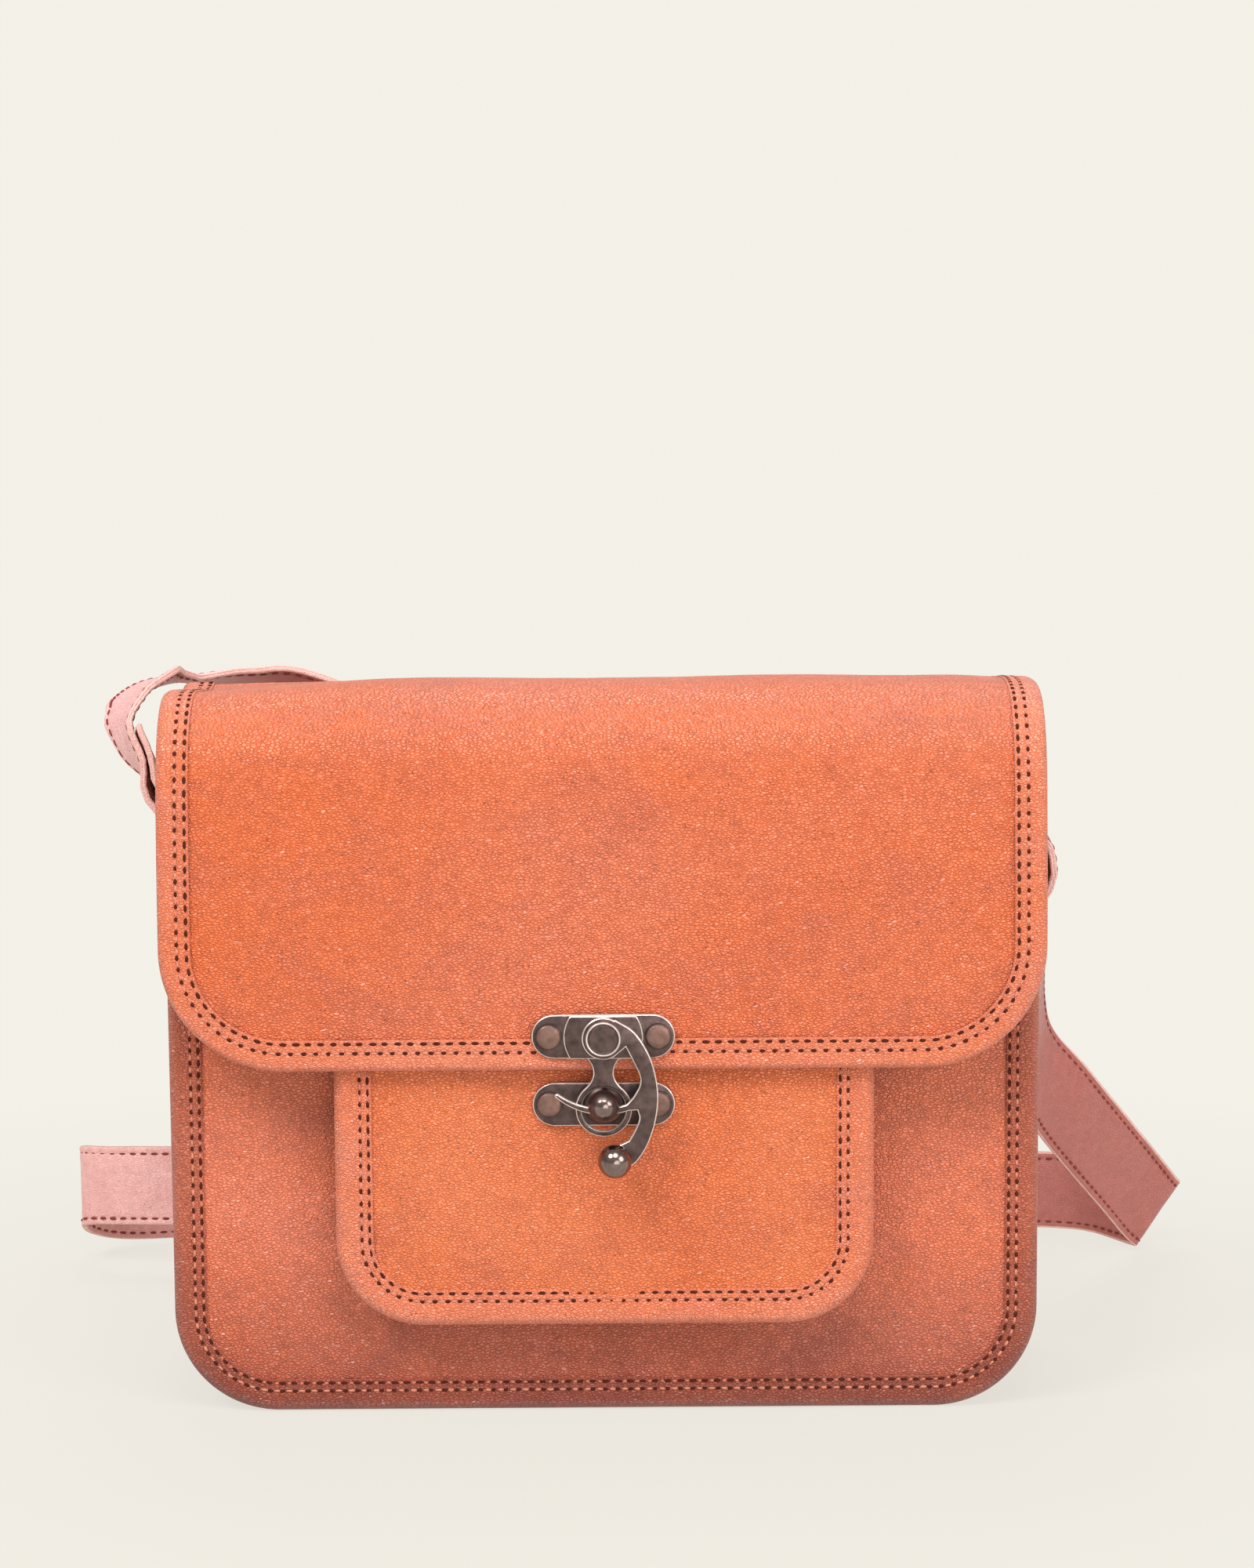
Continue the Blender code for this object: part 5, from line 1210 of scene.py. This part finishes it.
shortShares = [
    (1.040, 0.684, 0.736, 0.0, 0.97, -0.08, 0.05), (1.040, 0.801, 0.658, 0.0, 0.97, -0.20, -0.05),
    (1.050, 0.963, 0.573, 0.0, 0.98, -0.16, -0.06), (1.060, 1.235, 0.468, 0.0, 0.96, -0.22, -0.08),
    (1.084, 1.441, 0.390, 0.0, 0.92, -0.36, -0.16), (1.172, 1.718, 0.300, 0.0, 0.62, -0.70, -0.35),
    (1.356, 2.210, 0.141, 0.0, 0.57, -0.74, -0.36), (1.424, 2.397, 0.081, 0.0, 0.60, -0.70, -0.39),
    (1.445, 2.470, 0.064, 0.0, 0.82, -0.11, -0.56), (1.417, 2.543, 0.065, 0.0, 0.68, 0.57, -0.46),
    (1.312, 2.750, 0.070, 0.0, 0.62, 0.74, -0.15), (1.200, 2.860, 0.0, 1.05, 0.30, 0.95, 0.00),
    (0.944, 2.889, 0.0, 1.08, 0.03, 1.00, 0.00),
]
buckleHalf = strap["width"] / 2.0 + strap["buckleSlack"] + 2.0 * strap["buckleWire"]
runY = strap["runDepthShare"] * bag["depth"]
runZ = buckleHalf + strap["gap"]
plyStep = strap["thick"] + strap["gap"]
barStep = strap["buckleWire"] + strap["gap"] + strap["thick"] / 2.0
loopStep = strap["wire"] + strap["gap"] + strap["thick"] / 2.0


def routeRows(table):
    return [(a * bag["halfWidth"], b * bag["depth"], c * bag["backHeight"] + rest * strap["width"] / 2.0, *n)
            for a, b, c, rest, *n in table]


def smoothRoute(rows):
    points, normals = [Vector(r[:3]) for r in rows], [Vector(r[3:]) for r in rows]
    counts = [max(1, round((b - a).length / strap["step"])) for a, b in zip(points, points[1:])]
    return smoothed(points, counts), smoothed(normals, counts)


def framedRoute(points, normals):
    found, last = [], len(points) - 1
    for i, point in enumerate(points):
        along = (points[min(i + 1, last)] - points[max(i - 1, 0)]).normalized()
        outward = (normals[i] - along * normals[i].dot(along)).normalized()
        found.append((point, outward.cross(along).normalized(), outward))
    return found


def ringBars(side):
    loop = strap["wire"] + strap["gap"] + strap["tabPly"] / 2.0
    x = bag["halfWidth"] - strap["ringInset"] + strap["gap"] + strap["tabPly"] / 2.0 + loop
    lower = Vector((side * x, strap["ringY"], strap["ringZ"]))
    lean = math.radians(strap["leanLeft"] if side < 0.0 else strap["leanRight"])
    away = Vector((side * math.cos(lean), 0.0, math.sin(lean)))
    return lower, lower + away * strap["ringReach"], away


def loopedRoute(rows, bar):
    # the strap's turned-back end round a ring's bar, then its run: (point, across) pairs
    toward = Vector(rows[0][:3]) - bar
    along = Vector((toward.x, 0.0, toward.z)).normalized()
    outward = Vector((along.z, 0.0, -along.x))
    if outward.dot(Vector(rows[0][3:])) < 0.0:
        outward = -outward
    first = bar + outward * loopStep
    second = first + along * 2.0 * loopStep
    points, normals = smoothRoute([(*first, *outward), (*second, *outward)] + rows)
    stations = framedRoute(points, normals)
    tail, travelled = [], 0.0
    for (a, _, _), (b, across, out) in zip(stations, stations[1:]):
        travelled += (b - a).length
        if travelled > strap["tail"]:
            break
        close = min(1.0, travelled / (strap["tailEase"] * strap["tail"]))
        back = 2.0 * loopStep + (plyStep * strap["plySlack"] - 2.0 * loopStep) * close
        tail.append((b - out * back, across))
    tail.reverse()
    bight = []
    for i in range(24):
        turn = math.pi * i / 24
        arm = -math.cos(turn) * outward - math.sin(turn) * along
        bight.append((bar + arm * loopStep, outward.cross(along).normalized()))
    return tail + bight, [(p, a) for p, a, _ in stations]


def evened(stations, step):
    # drop stations that crowd together, keeping the ends
    kept = [stations[0]]
    for item in stations[1:-1]:
        if (item[0] - kept[-1][0]).length > step:
            kept.append(item)
    return kept + [stations[-1]]


def crossSection(width, thick, groove):
    # (u, w) pairs round a strap, u across it and w through it, and marks for the cut sides
    look, half, deep = sectionLook, width / 2.0, thick / 2.0
    r, seam, split = min(look["round"], thick * look["roundShare"]), look["seam"], look["seamHalf"]
    row, (near, far) = half - groove, look["beside"]
    us = [half - r, half - look["border"], row + near, row, row - near, row - far]
    us += [half * share for share in look["shares"]]
    us += [-u for u in us[:-1]][::-1]
    face = []
    for u in us:
        dip = look["groove"] * math.exp(-((abs(u) - row) / look["grooveHalf"]) ** 2) if groove else 0.0
        face.append((u, deep - dip + look["crown"] * (1.0 - (u / half) ** 2)))
    left = [(-half + r * (1.0 - math.sin(a)), deep - r * (1.0 - math.cos(a))) for a in (0.5, 1.05)]
    left += [(-half, deep - r), (-half, split), (-half + seam, 0.0), (-half, -split), (-half, -deep + r)]
    left += [(-half + r * (1.0 - math.sin(a)), -deep + r * (1.0 - math.cos(a))) for a in (1.05, 0.5)]
    back = [(-u, -w) for u, w in face]
    right = [(-u, -w) for u, w in left]
    ring = face + left + back + right
    marks = [0] * len(face) + [1] * len(left) + [0] * len(back) + [1] * len(right)
    return ring, marks


def squared(stations, i):
    # (across, normal) at a station, square to the run
    before, after = stations[max(i - 1, 0)][0], stations[min(i + 1, len(stations) - 1)][0]
    along, across = (after - before).normalized(), stations[i][1]
    side = (across - along * across.dot(along)).normalized()
    return side, along.cross(side)


def runLengths(stations):
    lengths = [0.0]
    for a, b in zip(stations, stations[1:]):
        lengths.append(lengths[-1] + (b[0] - a[0]).length)
    return lengths


def strapPiece(name, stations, width, thick, groove, shadeAt, wave=0.0, seed=1.0, taper=0.0):
    ring, marks = crossSection(width, thick, groove)
    rings, shade, lengths = [], [], runLengths(stations)
    for i, (point, _) in enumerate(stations):
        side, normal = squared(stations, i)
        squeeze, length = 1.0, lengths[i]
        if taper:
            rest = 1.0 - min(1.0, (lengths[-1] - length) / taper)
            squeeze = math.sqrt(max(0.02, 1.0 - rest ** 2))
        sway = wave * ripple(length, 0.0, 38.0, seed)
        rings.append([point + side * u * squeeze + normal * (w + sway * (u / width) * 2.0) for u, w in ring])
        # painted shade at each point, for the strap's hide to read
        shade += [shadeAt(length, w > 0.0) for _, w in ring]
    made = loft(name, rings, [finishes["strapHide"], finishes["strapEdge"]], marks, 50.0, shade)
    return made


def strapRails(stations, ends):
    # a row of stitches near each edge, on both faces
    rails, lengths = [], runLengths(stations)
    inset, lift = strap["width"] / 2.0 - strap["rowInset"], strap["thick"] / 2.0 - strap["stitchSink"]
    for edge in (-1.0, 1.0):
        for face in (-1.0, 1.0):
            rail = []
            for i, (point, _) in enumerate(stations):
                if ends[0] <= lengths[i] <= lengths[-1] - ends[1]:
                    side, normal = squared(stations, i)
                    rail.append((point + side * edge * inset + normal * face * lift, normal * face))
            rails.append(rail)
    return rails


def longShade(length, outer):
    # painted shade: dark on the arch's underside, dusky behind the bag and by the buckle
    start, end, share = strap["archShade"] if outer else strap["underShade"]
    first = easeStep(start, end, length)
    return max(share * (first if outer else 1.0 - first),
               strap["endShade"] * easeStep(*strap["buckleShade"], length))


def shortShade(length, outer):
    # painted shade: the short strap lies in shadow on both faces
    return strap["shortOuterShade"] if outer else strap["shortInnerShade"]


def boxCorners(low, high, foot, top, r):
    # the middles of a box's four rounded corners, and where each arc starts
    return ((high - r, top - r, 0.0), (low + r, top - r, 90.0),
            (low + r, foot + r, 180.0), (high - r, foot + r, 270.0))


def boxLine(low, high, foot, top, r):
    return [p for u, v, start in boxCorners(low, high, foot, top, r)
            for p in arcPoints(u, v, r, start, start + 90.0, 8)]


def punchHole(piece, middle, long, r):
    # a slot with round ends, right through the strap at the buckle
    outline = arcPoints(middle + long / 2.0, runZ, r, -90.0, 90.0, 10)
    outline += arcPoints(middle - long / 2.0, runZ, r, 90.0, 270.0, 10)
    count = len(outline)
    points = [(x, y, z) for y in (runY - 0.03, runY + 0.03) for x, z in outline]
    faces = gridFaces(2, count, ringed=True) + [tuple(range(count))[::-1], tuple(range(count, 2 * count))]
    carve(piece, meshObject("punch", points, faces, [finishes["strapEdge"]]))


def makeStrap():
    up = Vector((0.0, 0.0, 1.0))
    place, reach, length = strap["bucklePlace"], strap["endLength"], strap["buckleLength"]
    runLeft = place - length
    under, over = runY + strap["buckleTilt"] - barStep, runY + barStep + plyStep
    rows = routeRows(longShares) + [
        (x, y, runZ, 0.0, -1.0, 0.0) for x, y in (
            (runLeft - length * 1.4, under), (runLeft, under), (runLeft + length * 0.5, (under + over) / 2.0),
            (place, over), (place + reach * 0.5, over), (place + reach, over),
        )
    ]
    head, run = loopedRoute(rows, ringBars(-1.0)[1])
    longLine = evened(head + run, strap["closest"])
    longStrap = strapPiece("strapLong", longLine, strap["width"], strap["thick"], strap["rowInset"],
                           longShade, strap["wave"], 2.0, strap["tipTaper"])

    rows = routeRows(shortShares) + [(x, runY - barStep, runZ, 0.0, 1.0, 0.0) for x in (place + reach, place)]
    head, run = loopedRoute(rows, ringBars(1.0)[1])
    heel = Vector((place, runY, runZ))
    side = up if run[-1][1].z > 0.0 else -up
    turns = [math.pi * i / 20 for i in range(21)]
    tail = [(heel + Vector((-math.sin(t), -math.cos(t), 0.0)) * barStep, side) for t in turns]
    tail += [(heel + Vector((strap["shortEnd"] * share, barStep, 0.0)), side)
             for share in (0.15, 0.35, 0.55, 0.75, 0.9, 1.0)]
    shortLine = evened(head + run[:-1] + tail, strap["closest"])
    shortStrap = strapPiece("strapShort", shortLine, strap["width"], strap["thick"], strap["rowInset"],
                            shortShade, strap["wave"], 5.0)
    r = strap["holeRadius"]
    near, far = -3.0 * barStep, strap["buckleWire"] + 2.0 * strap["prong"] + 3.0 * strap["gap"]
    for piece, node, middle, long in (
        (longStrap, "strap_long", place - length / 2.0, strap["holeLength"] - 2.0 * r),
        (shortStrap, "strap_short", place + (near + far) / 2.0, far - near - 2.0 * r),
    ):
        punchHole(piece, middle, long, r)
        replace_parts(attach(piece, "body"), node)
    for label, line, ends, seed in (("long", longLine, (0.004, 0.012), 41),
                                    ("short", shortLine, (0.004, 0.004), 42)):
        sewn(label + "StrapStitch", strapRails(line, ends), onBody, seed, ("strap",))
    for label, side in (("Left", -1.0), ("Right", 1.0)):
        makeRing(label, side)
    makeBuckle(heel)
    makeKeeper()
    print("strap made")


def makeRing(label, side):
    lower, _, away = ringBars(side)
    half = strap["width"] / 2.0 + strap["ringSlack"] + strap["wire"]
    corners = boxLine(-half, half, 0.0, strap["ringReach"], strap["wire"] * 1.5)
    line = [lower + Vector((0.0, y, 0.0)) + away * s for y, s in corners]
    ring = wireLoop("strapRing" + label, line, strap["wire"], "nickelBall", True, 16)
    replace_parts(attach(ring, "body"), "strap_ring_" + label.lower())

    # the tab folds round the ring's lower bar and is sewn to the side of the bag
    loop = strap["wire"] + strap["gap"] + strap["tabPly"] / 2.0
    top, length = strap["ringZ"], strap["tabLength"]
    inner, fold = lower.x - side * loop, lower.x + side * loop
    outer = inner + side * (strap["tabPly"] + strap["gap"])
    foot, low = top - length, top - length * 0.4
    places = [(inner, foot + (top - foot) * i / 8) for i in range(8)]
    places += [(lower.x + side * x, top + z) for x, z in arcPoints(0.0, 0.0, loop, 180.0, 0.0, 20)]
    places += [(fold + (outer - fold) * easeStep(0, 1, i / 6), top + (low - top) * i / 6)
               for i in range(1, 7)]
    places += [(outer, low + (foot - low) * i / 14) for i in range(1, 15)]
    line = [(Vector((x, strap["ringY"], z)), Vector((0.0, 1.0, 0.0))) for x, z in places]
    # the tab carries an even painted shade
    tab = strapPiece("strapTab" + label, line, strap["width"], strap["tabPly"], 0.0,
                     lambda length, outer: strap["tabShade"], taper=strap["tabTaper"])
    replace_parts(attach(tab, "body"), "strap_tab_" + label.lower())

    face = outer + side * (strap["tabPly"] / 2.0 + 0.0002)
    y0, y1 = strap["ringY"] - strap["stitchHalf"], strap["ringY"] + strap["stitchHalf"]
    z0, z1 = foot + strap["stitchInset"], low + strap["stitchTop"]
    box = [(y0, z1), (y0, z0), (y1, z0), (y1, z1)]
    rails = [[(Vector((face, a[0] + (b[0] - a[0]) * i / 8, a[1] + (b[1] - a[1]) * i / 8)), (side, 0.0, 0.0))
              for i in range(9)] for a, b in zip(box, box[1:] + box[:1])]
    sewn("strapTabStitch" + label, rails, onBody, 51, ("strap",), strap["tabPitch"])


def makeBuckle(heel):
    wire, length, prong = strap["buckleWire"], strap["buckleLength"], strap["prong"]
    half = buckleHalf - wire
    points = [heel + Vector((x, strap["buckleTilt"] * (-x / length), z))
              for x, z in boxLine(-length, 0.0, -half, half, wire * 2.0)]
    buckle = wireLoop("buckleFrame", points, wire, "nickelBall", True, 16)
    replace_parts(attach(buckle, "body"), "buckle_frame")
    root = wire + strap["gap"] + prong
    rise = strap["buckleTilt"] + root
    turns = [math.radians(200.0 + 320.0 * i / 22) for i in range(23)]
    eye = [heel + Vector((math.cos(a) * root, math.sin(a) * root, 0.0)) for a in turns]
    arm = [heel + Vector((x, y, 0.0)) for x, y in (
        (-root - 0.001, strap["prongDip"]), (-length * 0.35, rise * 0.52), (-length * 0.75, rise * 0.94),
        (-length - wire, rise),
    )]
    made = wireLoop("buckleProng", eye[::-1] + smoothed(arm, [6, 6, 6]), prong, "nickelBall", False, 12)
    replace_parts(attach(made, "buckle_prong"), "buckle_prong")


def makeKeeper():
    front = runY - barStep - strap["thick"] / 2.0 - strap["gap"]
    back = runY + barStep + plyStep + strap["thick"] / 2.0 + strap["gap"]
    tall, thick, r = strap["width"] / 2.0 + strap["gap"], strap["keeperThick"], strap["keeperRound"]
    corners = [(y, z, math.radians(start + 90.0 * i / 6))
               for y, z, start in boxCorners(front, back, -tall, tall, r) for i in range(7)]
    left, wide = strap["bucklePlace"] + strap["keeperPlace"], strap["keeperWidth"]
    lip = [(0.0, 0.0003), (0.0004, 0.0), (wide - 0.0004, 0.0), (wide, 0.0003), (wide, thick - 0.0004),
           (wide - 0.0004, thick), (wide / 2.0, thick + 0.0002), (0.0004, thick), (0.0, thick - 0.0004)]
    points = [(left + u, y + math.cos(a) * (r + w), runZ + z + math.sin(a) * (r + w))
              for y, z, a in corners for u, w in lip]
    count = len(lip)
    faces = gridFaces(len(corners), count, ringed=True)
    base = (len(corners) - 1) * count
    faces += [(base + c, base + (c + 1) % count, (c + 1) % count, c) for c in range(count)]
    # painted shade, as on the strap by the buckle
    shade = [strap["endShade"]] * len(points)
    keeper = meshObject("strapKeeper", points, faces, [finishes["strapHide"]], shade=shade)
    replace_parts(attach(keeper, "body"), "strap_keeper")


# floor, light and camera
studio = {
    "paper": (0.901, 0.876, 0.804), "floorShare": 0.55, "floorHalf": 30.0,
    "glowRamp": (0.16, 0.45, 0.78, 1.0), "worldFill": 0.40, "fillTint": (1.0, 0.985, 0.96),
    "aim": (0.0072, 0.0, 0.1836), "distance": 1.2, "elevation": 9.0, "roll": -0.40, "lens": 96.86,
}
# each lamp: its place, what it points at, its width and its power
lamps = {
    "keyLeft": ((-0.85, -0.95, 1.45), (0.0, 0.0, 0.12), 0.70, 20.0),
    "fillRight": ((1.15, -1.00, 0.80), (0.0, 0.0, 0.10), 0.9, 10.0),
    "topBack": ((-0.10, 0.75, 1.50), (0.0, 0.02, 0.15), 0.9, 9.0),
    "topFront": ((0.12, -0.85, 1.35), (0.0, 0.0, 0.15), 0.8, 9.0),
    "lowFront": ((0.40, -1.50, 0.14), (0.0, 0.0, 0.04), 1.0, 7.5),
}


def makeFloor():
    # the paper glows a little away from the bag, so that it meets the backdrop without a line
    made, tree, shader = newMaterial("paperSweep")
    feed(tree, shader, {
        "Base Color": [studio["floorShare"] * c for c in studio["paper"]], "Roughness": 0.9,
        "Specular IOR Level": 0.0,
    })
    glow = addNode(tree, "ShaderNodeEmission", {"Color": studio["paper"]})
    place = addNode(tree, "ShaderNodeTexCoord").outputs["Object"]
    length = addNode(tree, "ShaderNodeVectorMath", {0: place}, operation="LENGTH").outputs["Value"]
    fade = ramped(tree, length, *studio["glowRamp"])
    mix = addNode(tree, "ShaderNodeMixShader", {0: fade, 1: shader.outputs[0], 2: glow.outputs[0]})
    feed(tree, tree.nodes["Material Output"], {"Surface": mix.outputs[0]})
    half = studio["floorHalf"]
    corners = [(-half, -half, 0.0), (half, -half, 0.0), (half, half, 0.0), (-half, half, 0.0)]
    meshObject("floor", corners, [(0, 1, 2, 3)], [made])


def makeWorld():
    scene.world = bpy.data.worlds.new("studio")
    scene.world.use_nodes = True
    tree = scene.world.node_tree
    tree.nodes.clear()
    fill = addNode(tree, "ShaderNodeBackground", {
        "Color": studio["fillTint"], "Strength": studio["worldFill"],
    })
    paper = addNode(tree, "ShaderNodeBackground", {"Color": studio["paper"]})
    seen = addNode(tree, "ShaderNodeLightPath").outputs["Is Camera Ray"]
    mix = addNode(tree, "ShaderNodeMixShader", {0: seen, 1: fill.outputs[0], 2: paper.outputs[0]})
    addNode(tree, "ShaderNodeOutputWorld", {"Surface": mix.outputs[0]})


def makeStudio():
    makeFloor()
    makeWorld()
    for name, (place, aim, size, power) in lamps.items():
        light = bpy.data.lights.new(name, "AREA")
        light.shape, light.size, light.energy = "DISK", size, power
        holder = bpy.data.objects.new(name, light)
        scene.collection.objects.link(holder)
        holder.location = place
        holder.rotation_euler = (Vector(aim) - Vector(place)).to_track_quat("-Z", "Y").to_euler()

    lens = bpy.data.cameras.new("photoCamera")
    lens.lens, lens.sensor_width = studio["lens"], 36.0
    lens.clip_start, lens.clip_end = 0.01, 100.0
    camera = bpy.data.objects.new("photoCamera", lens)
    scene.collection.objects.link(camera)
    tilt, aim = math.radians(studio["elevation"]), Vector(studio["aim"])
    camera.location = aim + Vector((0.0, -math.cos(tilt), math.sin(tilt))) * studio["distance"]
    facing = (aim - camera.location).to_track_quat("-Z", "Y")
    roll = Matrix.Rotation(math.radians(studio["roll"]), 3, "Z").to_quaternion()
    camera.rotation_euler = (facing @ roll).to_euler()
    scene.camera = camera
    scene.view_settings.view_transform = "Standard"
    print("studio ready")


makeBody()
makePocket()
makeFlap()
makeClasp()
makeStrap()
makeStudio()
